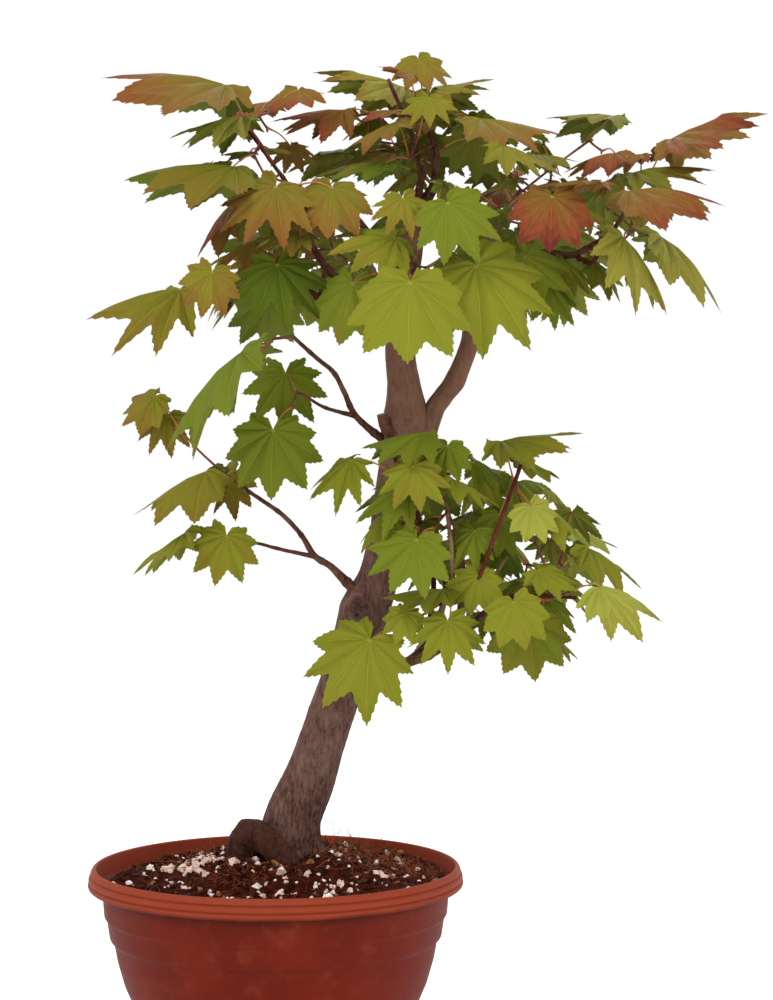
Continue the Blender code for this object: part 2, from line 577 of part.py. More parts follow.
class Mass:
    """One mass of foliage: a stem, twigs that branch from it, and leaves at their ends."""

    def __init__(self, name, rule):
        self.name, self.rule = name, rule
        self.draw = random.Random(rule["seed"])
        self.space = rule["space"]
        self.heart = Vector(rule["heart"])
        self.woods, self.leaves, self.centres = [], [], []
        line, widths = smooth_line(LIMBS[rule["bough"]]["line"], LIMBS[rule["bough"]]["thick"], 2)
        ahead = (line[-1] - line[-2]).normalized()
        root = line[-1] + ahead * GAP
        reach = (self.heart - root).length
        start = root + ahead * min(6.0, reach / 3)
        bend = root.lerp(self.heart, 0.5) + ahead * reach * 0.15
        self.stem = twig([root, start, bend, self.heart], max(widths[-1] * 0.9, TWIG_THICK), TWIG_THICK)
        self.nodes = [start.lerp(bend, 0.6), bend, bend.lerp(self.heart, 0.5), self.heart]
        self.woods.append(tree_of(self.stem))
        self.pieces = [self.stem]

    def free(self, tests, others, limbs, own):
        """Whether surfaces keep clear of the limbs, of the other masses and of their own mass's pieces."""
        for tree in tests:
            if any(meets(tree, limb) for limb in limbs) or any(meets(tree, piece) for piece in own):
                return False
            if any(meets(tree, piece) for mass in others for piece in mass.woods + mass.leaves):
                return False
        return True

    def grow(self, foot, midrib, normal, length, masses, limbs, fold=None):
        """Adds a leaf, its petiole and the twig that carries it from the nearest node, if there is room."""
        droop = self.draw.uniform(0.10, 0.30)
        if fold is None:
            fold = self.draw.uniform(0.05, 0.42)
        others = [mass for mass in masses if mass is not self]
        shape = (foot, midrib, normal, length, droop, fold)
        wide = leaf_surface(*shape, CLEARANCE)
        if not all(within(self.space, point) for point in wide[0]):
            return False
        blade = tree_of(wide)
        if not self.free([blade], others, limbs, self.leaves + self.woods):
            return False
        heel, middle = (on_midrib(*shape[:5], share) for share in (-HEEL, FAN_PLACE))
        for near in sorted(self.nodes, key=lambda node: (node - foot).length)[:4]:
            gap = foot - near
            petiole = min(PETIOLE_LENGTH, 0.75 * gap.length)
            node = foot - gap.normalized() * petiole - Vector((0, 0, 0.12 * petiole))
            way = (node - near).normalized()
            if (node - near).length < 7:
                node, way = near, (foot - near).normalized()
            arc = node.lerp(foot, 0.55) + Vector((0, 0, 0.10 * (foot - node).length))
            tip = heel.lerp(middle, SUNK)
            line, widths = [node - way * 0.7, arc, tip], (TWIG_THIN, PETIOLE_THICK, PETIOLE_END)
            if node is not near:
                line, widths = [near - way * 0.7, node, arc, tip], (TWIG_THICK, TWIG_THIN, *widths[1:])
            if not all(within(self.space, place) for place in (node, arc)):
                continue
            tests = [tree_of(twig([node.lerp(arc, 0.25), arc, arc.lerp(foot, 0.9)], 2.6, 2.6))]
            if node is not near:
                tests.append(tree_of(twig([near.lerp(node, 0.2), node], 3.6, 3.0)))
            if self.free(tests, others, limbs, self.leaves):
                break
        else:
            return False
        if node is not near:
            self.nodes += [near.lerp(node, 0.5), node]
        self.pieces.append(tube(line, widths, 3, turn=0.4))
        self.pieces.append(leaf_surface(*shape, length * LEAF_THICK))
        self.woods += tests
        self.leaves.append(blade)
        self.centres.append(foot + midrib * length * 0.45)
        return True

    def lead(self, masses, limbs):
        """Grows the leaves that make the outline. One with no room is drawn in a little towards the heart,
        turned flatter and made smaller until it has some."""
        for row in self.rule["leaders"]:
            for step in range(LEAD_STEPS):
                foot = Vector(row[:3]).lerp(self.heart, 0.025 * step)
                midrib, normal = leaf_frame(row[3], row[4], row[5] * (1 - 0.05 * step))
                if self.grow(foot, midrib, normal, row[6] * (1 - 0.025 * step), masses, limbs, *row[7:]):
                    break

    def fill(self, masses, limbs):
        """Adds leaves by the rule: each where the mass is emptiest, heading away from its heart."""
        wanted = self.rule["fill"]
        for _ in range(FILL_TRIES):
            if not wanted:
                break
            best, best_room = self.heart, -1.0
            for _ in range(5):
                way = Vector([self.draw.gauss(0, 1) for _ in range(3)]).normalized()
                way *= self.draw.uniform(0.3, 1.0) ** (1 / 3)
                place = Vector([(low + high) / 2 + share * (high - low) / 2
                                for share, (low, high) in zip(way, self.rule.get("inner", self.space))])
                room = min(((centre - place).length for centre in self.centres), default=100.0)
                if room > best_room:
                    best, best_room = place, room
            away = Vector((best.x - self.heart.x, best.y - self.heart.y, 0))
            if away.length < 5:
                away = Vector((0, 1, 0))
            away = Matrix.Rotation(self.draw.uniform(-0.7, 0.7), 3, "Z") @ away.normalized()
            sink = math.radians(self.draw.uniform(4, 46))
            midrib = away * math.cos(sink) - Vector((0, 0, math.sin(sink)))
            up = Vector((self.draw.uniform(-0.3, 0.3), self.draw.uniform(-0.3, 0.3), 1)) + away * 0.25
            normal = (up - midrib * up.dot(midrib)).normalized()
            length = self.draw.uniform(40, 60)
            if self.grow(best - away * length * 0.4, midrib, normal, length, masses, limbs):
                wanted -= 1

    def join(self):
        """Fuses the stem, the twigs and the leaves into one closed solid."""
        collection = bpy.data.collections.new(self.name + "_pieces")
        parts = [solid(f"{self.name}_{index}", points, faces, self.rule["tone"], False)
                 for index, (points, faces) in enumerate(self.pieces)]
        made = parts[0]
        made.name = self.name
        for part in parts[1:]:
            collection.objects.link(part)
        modifier = made.modifiers.new("join", "BOOLEAN")
        modifier.operation = "UNION"
        modifier.operand_type = "COLLECTION"
        modifier.collection = collection
        modifier.solver = "MANIFOLD"
        keep_evaluated(made)
        for part in parts[1:]:
            bpy.data.objects.remove(part)
        bpy.data.collections.remove(collection)
        keep_main_body(made)
        return made


def main():
    """Builds the whole plant in its pot."""
    for old in list(bpy.data.objects):
        bpy.data.objects.remove(old)
    make_pot()
    make_soil()
    make_limbs()
    limbs = [tree_of(limb_surface(name, CLEARANCE)) for name in ("trunk", *LIMBS)]
    masses = [Mass(name, rule) for name, rule in MASSES.items()]
    for mass in masses:
        mass.lead(masses, limbs)
    for mass in masses:
        mass.fill(masses, limbs)
    for mass in masses:
        mass.join()


main()
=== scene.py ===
"""A vine maple bonsai in its round plastic pot, dressed for rendering.

The limbs, the masses of foliage and the rule that grows them are those of the solids, in millimetres.
New pieces are arrays of points worked out in millimetres and made into meshes in metres.
"""
import math
import random

import bpy
import numpy as np
from mathutils import Matrix, Vector
from mathutils.bvhtree import BVHTree


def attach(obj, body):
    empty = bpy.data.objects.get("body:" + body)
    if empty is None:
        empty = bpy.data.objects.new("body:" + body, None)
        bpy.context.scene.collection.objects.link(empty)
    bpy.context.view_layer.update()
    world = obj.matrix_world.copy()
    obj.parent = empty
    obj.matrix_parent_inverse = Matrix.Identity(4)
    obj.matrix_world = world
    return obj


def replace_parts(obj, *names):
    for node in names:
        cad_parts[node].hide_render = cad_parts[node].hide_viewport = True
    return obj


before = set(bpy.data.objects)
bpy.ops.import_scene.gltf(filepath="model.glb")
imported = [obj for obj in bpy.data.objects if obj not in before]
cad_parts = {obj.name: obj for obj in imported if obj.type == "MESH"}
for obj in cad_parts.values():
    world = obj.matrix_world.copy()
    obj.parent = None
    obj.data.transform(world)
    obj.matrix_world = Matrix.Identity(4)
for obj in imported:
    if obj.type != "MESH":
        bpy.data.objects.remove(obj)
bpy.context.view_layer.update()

# A millimetre in metres, and the gap in millimetres that stands for wood grown together
MM = 0.001
GAP = 0.3

# The soil's top at the trunk, and the trunk as (height, across, depth, thickness) up its leaning line.
# Its foot is lobed, and it is flattened where it widens for the fork.
GROUND = 168.0
TRUNK_LINE = (
    (GROUND, 7.0, 36.0, 64.0), (176.0, 8.0, 35.0, 53.0), (200.0, 13.0, 33.0, 45.5),
    (232.0, 26.5, 30.0, 41.0), (276.0, 41.0, 27.0, 38.0), (321.0, 56.5, 23.0, 36.5),
    (362.0, 69.5, 20.0, 39.0), (382.0, 77.5, 19.0, 35.0), (409.0, 86.0, 17.0, 32.5),
    (442.0, 93.0, 14.0, 32.0), (497.0, 100.5, 11.0, 33.5), (519.0, 107.0, 9.5, 41.0),
    (531.0, 111.0, 9.0, 47.0),
)
TRUNK_SIDES = 16
FLARE_HEIGHT = 30.0
FLARE = 0.11
FORK_START = 497.0
FORK_HEIGHT = 531.0
FORK_DEPTH_SHARE = 0.66
# The sides of a bough's tube in the solids
BOUGH_SIDES = 6

# The limbs: the line of each, its thickness at each of the line's places, how many sides its tube has
# in the solids, if not BOUGH_SIDES, and the limb that its foot is seated on
LIMBS = {
    "leader": dict(
        line=(
            (103, 9, 531.3), (102, 8, 548), (100, 7.5, 580), (102, 6.5, 630), (106, 5, 668),
            (108, 5, 690)),
        thick=(28.5, 25, 25, 23.5, 26, 19), sides=12),
    "right_limb": dict(
        line=(
            (127.5, 9.5, 531.3), (135, 11, 542), (144.5, 12, 556), (157, 15, 588), (162, 18, 620),
            (172, 20, 655), (181, 22, 683)),
        thick=(13.6, 15.4, 15.2, 14.6, 13.2, 10.5, 7), sides=10),
    "crown_left_bough": dict(
        line=((101, 7, 598), (78, 0, 616), (56, -5, 631), (40, -10, 645), (26, -14, 668), (21, -16, 686)),
        thick=(12, 9, 7.5, 6.5, 5, 4), seat="leader"),
    "crown_left_low_bough": dict(
        line=((101, 7, 584), (76, 2, 603), (51, 0, 614), (28, 2, 624)),
        thick=(11, 9, 8, 7), seat="leader"),
    "crown_top_bough": dict(
        line=((107, 5, 672), (117, 2, 694), (127, 0, 712), (128.5, 0, 732)),
        thick=(10, 9, 7.5, 6), seat="leader"),
    "crown_front_bough": dict(
        line=((103, 6, 624), (104, -18, 630), (108, -45, 634), (112, -68, 636)),
        thick=(10, 8, 6, 4.5), seat="leader"),
    "crown_back_left_bough": dict(
        line=((103, 6, 636), (90, 40, 652), (75, 75, 680), (62, 106, 702)),
        thick=(11, 9, 7, 4.5), seat="leader"),
    "crown_back_right_bough": dict(
        line=((163, 18, 622), (178, 45, 645), (192, 78, 672), (202, 106, 690)),
        thick=(9.5, 8, 6, 4.5), seat="right_limb"),
    "crown_right_front_bough": dict(
        line=((160, 16, 604), (168, -8, 612), (172, -32, 622)),
        thick=(8.5, 6.5, 5), seat="right_limb"),
    "crown_far_right_bough": dict(
        line=((165, 19, 632), (190, 12, 648), (214, 2, 657), (238, -4, 655), (262, -6, 667)),
        thick=(9.5, 8, 7, 5.5, 4.5), seat="right_limb"),
    "left_high_bough": dict(
        line=(
            (97, 11, 500), (83, 4, 509), (64, -8, 525.5), (55, -22, 544), (47, -36, 558.5),
            (34, -50, 569), (20, -66, 581)),
        thick=(7, 6, 5, 4.2, 3.8, 3.4, 3), seat="trunk"),
    "left_high_side_bough": dict(
        line=((64, -8, 525.5), (50.5, -14, 528.5), (37.5, -22, 532.5), (25, -30, 540)),
        thick=(3.4, 3, 2.7, 2.4), seat="left_high_bough"),
    "left_low_bough": dict(
        line=(
            (78, 18, 374), (61, 9, 387), (44, 6, 404), (30.5, 5, 413), (19.5, 6, 430), (4.5, 7, 446),
            (-14, 8, 459)),
        thick=(9, 8, 5.4, 5.2, 4.2, 3.8, 3.4), seat="trunk"),
    "left_low_side_bough": dict(
        line=((32, 5, 412), (18, 4, 415), (4, 4, 418), (-21, 4, 424.5)),
        thick=(3.6, 3.2, 3, 2.5), seat="left_low_bough"),
    "middle_bough": dict(
        line=(
            (50, 23, 300), (72, 18, 310), (93, 8, 322.5), (122, -6, 333.5), (138, -14, 346),
            (145, -18, 362)),
        thick=(11, 10, 9, 8, 7, 6), seat="trunk"),
    "middle_right_bough": dict(
        line=((131, -11, 340), (155, -14, 357), (181, -18, 379), (212, -20, 382)),
        thick=(5.5, 5, 4.4, 3.6), seat="middle_bough"),
    "middle_back_bough": dict(
        line=((108, 1, 328), (126, 24, 345), (134, 48, 366), (138, 70, 386)),
        thick=(6.5, 5.6, 4.8, 4), seat="middle_bough"),
}

# The masses of foliage. bough: the limb whose tip carries it. heart: the place that its stem grows to.
# fill: the leaves that the rule adds to those of the outline. finer: the smaller ones that follow them.
# tint: its usual green (a place in GREENS) and how far that has turned.
# space: the box that a mass keeps to, as (low, high) across, in depth and up. inner: the smaller box that
# the added leaves aim at.
# leaders: the leaves that make its outline, each (across, depth, up) of the foot of its blade, then the
# midrib's heading as seen from the front, its lean towards the viewer, how far its face is turned to
# the viewer (all in degrees), its length and how far its sides hang, then its tint, if not the usual one.
MASSES = {
    "crown_top_leaves": dict(
        bough="crown_top_bough", heart=(122, -2, 756), seed=11, fill=4, finer=8, tint=(1.5, 0.28),
        space=((-30, 196), (-120, 110), (696, 834)), inner=((20, 186), (-30, 104), (720, 800)),
        leaders=(
            (114, -10, 812, -70, 40, 40, 36, 0.3, 2, 0.25), (124, -18, 785, 18, 16, 20, 56, 0.34, 2, 0.16),
            (100, 24, 796, 158, 0, 6, 72, 0.36, 3, 0.2), (54, 10, 774, 182, 6, 16, 62, 0.42, 1, 0.6),
            (98, 40, 744, 180, 0, 5, 72, 0.3, 0, 0.28), (88, -50, 720, 180, 4, 8, 62, 0.3, 0, 0.05),
            (97, -44, 755, 202, 8, 5, 50, 0.3, 1, 0.4), (122, -56, 771, -90, 40, 60, 32, 0.2, 2, 0.12),
            (108, -52, 790, 152, 5, 12, 28, 0.15, 1, 0.56), (52, 68, 750, 190, 0, -6, 50, 0.1, 2, 0.14),
            (95, -30, 766, 180, 6, 8, 34, 0.3, 1, 0.56))),
    "crown_left_leaves": dict(
        bough="crown_left_bough", heart=(0, -34, 722), seed=12, fill=3, finer=5, tint=(1.8, 0.34),
        space=((-160, 96), (-160, 62), (640, 834)), inner=((-70, 62), (-50, 30), (660, 770)),
        leaders=(
            (-36, -60, 780, 165, 4, 8, 96, 0.36, 1, 0.44), (-28, -70, 715, 174, 6, 8, 84, 0.4, 1, 0.2),
            (-7, 16, 791, 189, 4, 8, 58, 0.3, 1, 0.6), (5, -96, 696, -120, 32, 48, 56, 0.25, 1, 0.3),
            (54, -98, 693, -95, 38, 40, 52, 0.2, 1, 0.3), (-24, -56, 757, 184, 0, 6, 60, 0.32, 3, 0.08),
            (18, -12, 786, -110, 55, 8, 36, 0.15, 2, 0.5), (-20, -14, 736, 176, 0, 3, 24, 0.1, 1, 0.2),
            (-6, -12, 739, -2, 0, 3, 24, 0.1, 1, 0.2))),
    "left_high_leaves": dict(
        bough="left_high_bough", heart=(2, -76, 582), seed=20, fill=0, finer=0, tint=(1.0, 0.0),
        space=((-120, 40), (-160, 10), (430, 620)),
        leaders=((-22, -84, 571, 218, 0, 2, 97, 0.25, 1, 0.0),)),
    "crown_left_low_leaves": dict(
        bough="crown_left_low_bough", heart=(2, -22, 630), seed=13, fill=1, finer=4, tint=(1.3, 0.15),
        space=((-166, 60), (-140, 60), (560, 690)), inner=((-40, 60), (-50, 60), (610, 680)),
        leaders=(
            (-76, -16, 626, 190, 6, 26, 78, 0.45, 2, 0.16), (4, -62, 641, -80, 22, 66, 58, 0.15, 0, 0.0),
            (24, -84, 668, 190, 12, 16, 46, 0.4, 1, 0.25), (-16, -18, 665, 203, 4, 10, 48, 0.3, 2, 0.4),
            (-44, -92, 632, -106, 10, 60, 36, 0.2, 2, 0.24))),
    "crown_front_leaves": dict(
        bough="crown_front_bough", heart=(106, -92, 640), seed=14, fill=1, finer=3, tint=(1.3, 0.04),
        space=((20, 182), (-200, -30), (536, 736)), inner=((40, 182), (-100, -40), (600, 720)),
        leaders=(
            (106, -150, 618, -92, 22, 74, 65, 0.4, 2, 0.0), (95, -102, 657, 184, 20, 48, 56, 0.15, 2, 0.04),
            (62, -92, 623, -106, 8, 30, 50, 0.5, 1, 0.0), (134, -122, 680, -58, 26, 62, 50, 0.25, 1, 0.02),
            (99, -118, 702, -75, 34, 40, 52, 0.2, 2, 0.15))),
    "crown_right_front_leaves": dict(
        bough="crown_right_front_bough", heart=(182, -66, 622), seed=15, fill=1, finer=3, tint=(1.3, 0.06),
        space=((96, 284), (-190, 50), (540, 690)), inner=((140, 260), (-60, 30), (600, 680)),
        leaders=(
            (156, -104, 635, -50, 18, 58, 72, 0.25, 2, 0.0), (196, -54, 648, -38, 8, 44, 44, 0.15, 1, 0.02),
            (212, -34, 632, -44, 0, 40, 44, 0.2, 1, 0.0), (232, -20, 650, -40, 6, 30, 38, 0.2, 1, 0.05))),
    "crown_right_leaves": dict(
        bough="right_limb", heart=(196, -14, 706), seed=16, fill=3, finer=8, tint=(1.6, 0.32),
        space=((112, 306), (-150, 104), (640, 800)), inner=((130, 290), (-50, 100), (650, 760)),
        leaders=(
            (162, -44, 757, -6, 10, 10, 66, 0.3, 2, 0.36), (277, 46, 776, 174, 0, 3, 56, 0.25, 1, 0.15),
            (214, -100, 688, -94, 26, 66, 46, 0.15, 1, 0.62), (177, -82, 731, -22, 12, 12, 54, 0.25, 2, 0.12),
            (272, -16, 735, 189, 6, 5, 46, 0.3, 1, 0.66), (212, -4, 741, -2, 6, 4, 42, 0.28, 2, 0.1),
            (190, -38, 716, 188, 8, 20, 40, 0.3, 1, 0.12), (250, -92, 699, 178, 8, 3, 50, 0.05, 1, 0.68))),
    "crown_far_right_leaves": dict(
        bough="crown_far_right_bough", heart=(282, -14, 696), seed=17, fill=2, finer=3, tint=(1.7, 0.32),
        space=((226, 404), (-150, 112), (556, 796)), inner=((240, 306), (-30, 100), (690, 736)),
        leaders=(
            (316, -16, 746, 24, 6, 4, 78, 0.28, 1, 0.6), (306, -30, 666, -35, 4, 2, 74, 0.3, 3, 0.08),
            (276, -72, 696, 8, 12, 8, 72, 0.36, 1, 0.48), (287, -8, 721, 14, 6, 6, 66, 0.28, 1, 0.18),
            (272, -62, 662, -48, 6, 6, 68, 0.42, 3, 0.08), (300, 26, 748, 186, 0, 4, 42, 0.36, 1, 0.72),
            (292, 16, 690, -50, 0, 10, 44, 0.35, 2, 0.2), (256, 6, 652, -42, 0, 20, 40, 0.25, 1, 0.1))),
    "crown_back_left_leaves": dict(
        bough="crown_back_left_bough", heart=(34, 132, 708), seed=18, fill=11, finer=8, tint=(1.4, 0.28),
        space=((-136, 96), (20, 222), (592, 742)), inner=((-60, 96), (20, 222), (624, 716))),
    "crown_back_right_leaves": dict(
        bough="crown_back_right_bough", heart=(218, 136, 700), seed=19, fill=10, finer=8, tint=(1.4, 0.28),
        space=((98, 330), (40, 222), (612, 772)), inner=((98, 290), (40, 222), (640, 750))),
    "left_middle_leaves": dict(
        bough="left_high_side_bough", heart=(18, -34, 542), seed=21, fill=0, finer=0, tint=(0.9, 0.0),
        space=((-66, 56), (-100, 30), (430, 575)),
        leaders=((7, 4, 561, -92, 4, 78, 49, 0.1, 1, -0.02), (0, -50, 513, -92, 6, 78, 55, 0.5, 1, 0.0))),
    "left_low_leaves": dict(
        bough="left_low_bough", heart=(-46, 10, 482), seed=22, fill=0, finer=0, tint=(1.9, 0.2),
        space=((-160, 4), (-60, 90), (430, 562)),
        leaders=(
            (-58, 10, 481, 204, 4, 12, 70, 0.4, 2, 0.18), (-100, 16, 542, 216, 8, 34, 36, 0.3, 2, 0.2),
            (-90, 24, 528, 238, 14, 44, 36, 0.3, 2, 0.24), (-34, 24, 481, 232, 0, 36, 42, 0.3, 2, 0.24))),
    "left_lowest_leaves": dict(
        bough="left_low_side_bough", heart=(-32, 4, 428), seed=23, fill=0, finer=0, tint=(2.0, 0.1),
        space=((-134, 10), (-66, 70), (366, 440)),
        leaders=(
            (-40, -8, 430, -104, 14, 76, 44, 0.1, 2, 0.06), (-75, 8, 431, 215, 0, 2, 54, 0.25, 2, 0.02))),
    "middle_front_leaves": dict(
        bough="middle_bough", heart=(148, -30, 420), seed=24, fill=1, finer=5, tint=(1.5, 0.0),
        space=((10, 196), (-134, 20), (262, 528)), inner=((70, 186), (-50, 20), (370, 480)),
        leaders=(
            (118, -62, 510, 184, 6, 10, 50, 0.42, 1, 0.0), (136, -50, 505, -110, 30, 34, 32, 0.2, 1, 0.0),
            (59, -50, 491, 213, 10, 28, 46, 0.45, 2, 0.0), (109, -84, 484, -80, 30, 44, 40, 0.35, 2, 0.06),
            (139, -58, 482, -23, 8, 6, 50, 0.27, 2, 0.0), (106, -60, 470, 204, 16, 32, 50, 0.3, 1, 0.0),
            (111, -84, 428, -118, 24, 56, 50, 0.25, 1, 0.0), (80, -42, 448, 224, 8, 30, 40, 0.25),
            (133, -46, 388, 182, 6, 6, 50, 0.3), (76, -54, 349, -130, 14, 55, 64, 0.4, 2, 0.0),
            (136, -66, 365, -90, 24, 64, 42, 0.1, 2, 0.0), (100, -62, 367, -112, 16, 50, 28, 0.3, 2, 0.0),
            (160, -52, 399, -106, 20, 48, 34, 0.2, 2, 0.02), (158, -44, 434, 236, 12, 40, 34, 0.2),
            (158, -18, 488, -25, 0, 26, 38, 0.2, 1, 0.0))),
    "middle_right_leaves": dict(
        bough="middle_right_bough", heart=(216, -22, 402), seed=25, fill=1, finer=5, tint=(1.6, 0.02),
        space=((140, 336), (-134, 60), (290, 530)), inner=((150, 250), (-40, 60), (370, 470)),
        leaders=(
            (179, -42, 504, 12, 8, 6, 64, 0.33, 2, 0.05), (253, -70, 390, -12, 12, 26, 53, 0.42, 3, 0.05),
            (252, 6, 419, -26, 0, 6, 54, 0.38, 2, 0.06), (211, -28, 455, -32, 6, 14, 46, 0.42, 2, 0.0),
            (186, -80, 380, -74, 26, 56, 38, 0.2, 2, 0.03), (199, -46, 364, -82, 18, 58, 48, 0.1, 1, 0.08),
            (197, -6, 492, -25, 0, 4, 36, 0.3, 2, 0.05), (206, -52, 403, -22, 20, 32, 42, 0.2, 2, 0.0),
            (201, -52, 453, -64, 20, 48, 31, 0.2, 3, 0.0), (190, 24, 477, -30, 0, 12, 40, 0.38, 1, 0.0),
            (172, -12, 455, -62, 0, 44, 44, 0.2, 1, 0.0), (216, -12, 379, -42, 0, 24, 38, 0.25, 1, 0.03),
            (178, 12, 424, -55, 0, 30, 38, 0.3, 0, 0.0))),
    "middle_back_leaves": dict(
        bough="middle_back_bough", heart=(164, 92, 410), seed=26, fill=8, finer=6, tint=(1.4, 0.02),
        space=((90, 300), (20, 176), (310, 520)), inner=((100, 270), (20, 150), (320, 490))),
}

# The stem of a mass: how far it runs straight on from its bough's tip, at most, and how much it bows
STEM_START = 6.0
STEM_BOW = 0.15
# Twigs: their least thickness, how many of the nearest nodes a new one is tried from, and the shortest
# one worth growing
TWIG_THICK = 2.6
NODES_TRIED = 4
SHORTEST_TWIG = 7.0
# Petioles: the longest, the most that one takes of the way to the node, how far its foot lies below its
# straight line and how far its middle is above it
PETIOLE_LENGTH = 30.0
PETIOLE_SHARE = 0.75
PETIOLE_SINK = 0.12
PETIOLE_BOW = 0.10
# The thickness that twigs and petioles are tested with
TWIG_ROOM = (3.6, 3.0)
PETIOLE_ROOM = 2.6
# One side of a solid leaf's outline: (angle from the midrib, reach as a share of its length), then its heel
# and the place on its midrib that its faces fan out from
LOBES = ((0, 1.0), (16, 0.74), (33, 0.95), (48, 0.67), (64, 0.80), (84, 0.50), (112, 0.48))
HEEL = (180, 0.10)
FAN_PLACE = 0.30
# The room kept round a blade and round a limb
CLEARANCE = 1.6
# How far a leaf droops and how far its sides hang, as shares of its length
DROOPS = (0.10, 0.30)
FOLDS = (0.05, 0.42)
# How often a leaf of the outline is drawn in, and what each time takes from its reach and from its turn
LEAD_STEPS = 14
DRAWN_IN = 0.025
TURNED_BACK = 0.05
# The leaves that fill a mass: how often one is tried, out of how many places the emptiest is taken, how far
# its heading may stray and how far it may sink (degrees), and the lengths of the first and the finer ones
FILL_TRIES = 400
PLACES_TRIED = 5
STRAY = 0.7
SINKS = (4, 46)
FILL_SIZES = (40, 60)
FINER_SIZES = (26, 44)


def smooth_line(points, thick, steps):
    """Points and thicknesses along a smooth curve through the given ones."""
    points = [Vector(point) for point in points]
    line, widths = [], []
    for index in range(len(points) - 1):
        before = points[max(index - 1, 0)]
        start, end = points[index], points[index + 1]
        after = points[min(index + 2, len(points) - 1)]
        for step in range(steps):
            t = step / steps
            line.append(0.5 * ((2 * start) + (end - before) * t
                               + (2 * before - 5 * start + 4 * end - after) * t * t
                               + (3 * start - before - 3 * end + after) * t * t * t))
            widths.append(thick[index] * (1 - t) + thick[index + 1] * t)
    line.append(points[-1])
    widths.append(thick[-1])
    return line, widths


def tube(line, widths, sides, level_foot=False, level_top=False, turn=0.0):
    """Points and faces of a closed tube along a line. Either end can be cut level."""
    points, faces = [], []
    side_way = None
    for index, centre in enumerate(line):
        ahead = line[min(index + 1, len(line) - 1)] - line[max(index - 1, 0)]
        if level_foot and index == 0 or level_top and index == len(line) - 1:
            ahead = Vector((0, 0, 1))
        ahead.normalize()
        if side_way is None:
            side_way = Vector((1, 0, 0)) if abs(ahead.z) > 0.6 else ahead.orthogonal()
        side_way = (side_way - ahead * side_way.dot(ahead)).normalized()
        other_way = ahead.cross(side_way)
        for side in range(sides):
            angle = 2 * math.pi * side / sides + turn
            out = side_way * math.cos(angle) + other_way * math.sin(angle)
            points.append(centre + out * widths[index] / 2)
    for low in range(0, (len(line) - 1) * sides, sides):
        for side in range(sides):
            after = (side + 1) % sides
            faces.append((low + side, low + after, low + sides + after, low + sides + side))
    faces.append(tuple(range(sides))[::-1])
    faces.append(tuple(range((len(line) - 1) * sides, len(line) * sides)))
    return points, faces


def trunk_surface(swell):
    """The trunk from its level foot, with a root flare, to the fork, where it widens for both limbs."""
    stations = [(across, depth, height) for height, across, depth, _ in TRUNK_LINE]
    line, widths = smooth_line(stations, [row[3] for row in TRUNK_LINE], 2)
    points, faces = tube(line, [width + 2 * swell for width in widths], TRUNK_SIDES, True, True)
    shaped = []
    for index, point in enumerate(points):
        centre = line[index // TRUNK_SIDES]
        off = point - centre
        rise = (centre.z - GROUND) / FLARE_HEIGHT
        if rise < 1:
            angle = math.atan2(off.y, off.x)
            off *= 1 + FLARE * (1 - rise) ** 2 * math.cos(5 * angle + 0.7)
        spread = min(max((centre.z - FORK_START) / (FORK_HEIGHT - FORK_START), 0.0), 1.0)
        off.y *= 1 - (1 - FORK_DEPTH_SHARE) * spread
        shaped.append(centre + off)
    for index in range(TRUNK_SIDES):
        shaped[index].z = GROUND
    return shaped, faces


def limb_surface(name, swell):
    """A limb as one tapering tube along its smooth line, swollen on all sides."""
    if name == "trunk":
        return trunk_surface(swell)
    rule = LIMBS[name]
    line, widths = smooth_line(rule["line"], rule["thick"], 2)
    sides = rule.get("sides", BOUGH_SIDES)
    return tube(line, [width + 2 * swell for width in widths], sides, "seat" not in rule)


def tree_of(surface):
    """A search tree over a surface's faces, for finding what touches it, with its box's two corners."""
    points, faces = surface
    low = Vector([min(point[axis] for point in points) for axis in range(3)])
    high = Vector([max(point[axis] for point in points) for axis in range(3)])
    return BVHTree.FromPolygons(points, faces), low, high


def meets(one, other):
    """Whether two surfaces' search trees cross."""
    if any(one[1][axis] > other[2][axis] or other[1][axis] > one[2][axis] for axis in range(3)):
        return False
    return bool(one[0].overlap(other[0]))


def within(space, point):
    """Whether a point is in the box of a mass's space."""
    return all(low < value < high for value, (low, high) in zip(point, space))


def upright(up, midrib):
    """The upper face's normal: the way up with what lies along the midrib taken off."""
    return (up - midrib * up.dot(midrib)).normalized()


def leaf_frame(heading, lean, face):
    """The midrib's way and the upper face's normal, from the three angles that place a leaf."""
    heading, lean, face = (math.radians(angle) for angle in (heading, lean, face))
    midrib = Vector((math.cos(heading) * math.cos(lean), -math.sin(lean), math.sin(heading) * math.cos(lean)))
    return midrib, upright(Vector((0, 0, 1)) * math.cos(face) + Vector((0, -1, 0)) * math.sin(face), midrib)


def leaf_surface(foot, midrib, normal, length, droop, fold, thick):
    """A thin closed lobed blade: fans of faces over and under the outline from a place on the midrib.
    The blade sinks with the square of the reach, and its sides hang from the midrib."""
    across = normal.cross(midrib)
    outline = []
    for angle, reach in LOBES + (HEEL,) + tuple((-angle, reach) for angle, reach in LOBES[:0:-1]):
        along = reach * math.cos(math.radians(angle))
        aside = reach * math.sin(math.radians(angle))
        sink = droop * reach * reach + fold * abs(aside)
        outline.append(foot + (midrib * along + across * aside - normal * sink) * length)
    middle = foot + (midrib * FAN_PLACE - normal * droop * FAN_PLACE * FAN_PLACE) * length
    points = [middle + normal * thick / 2, middle - normal * thick / 2] + outline
    faces = []
    for index in range(len(outline)):
        after = (index + 1) % len(outline)
        faces += [(0, 2 + index, 2 + after), (1, 2 + after, 2 + index)]
    return points, faces


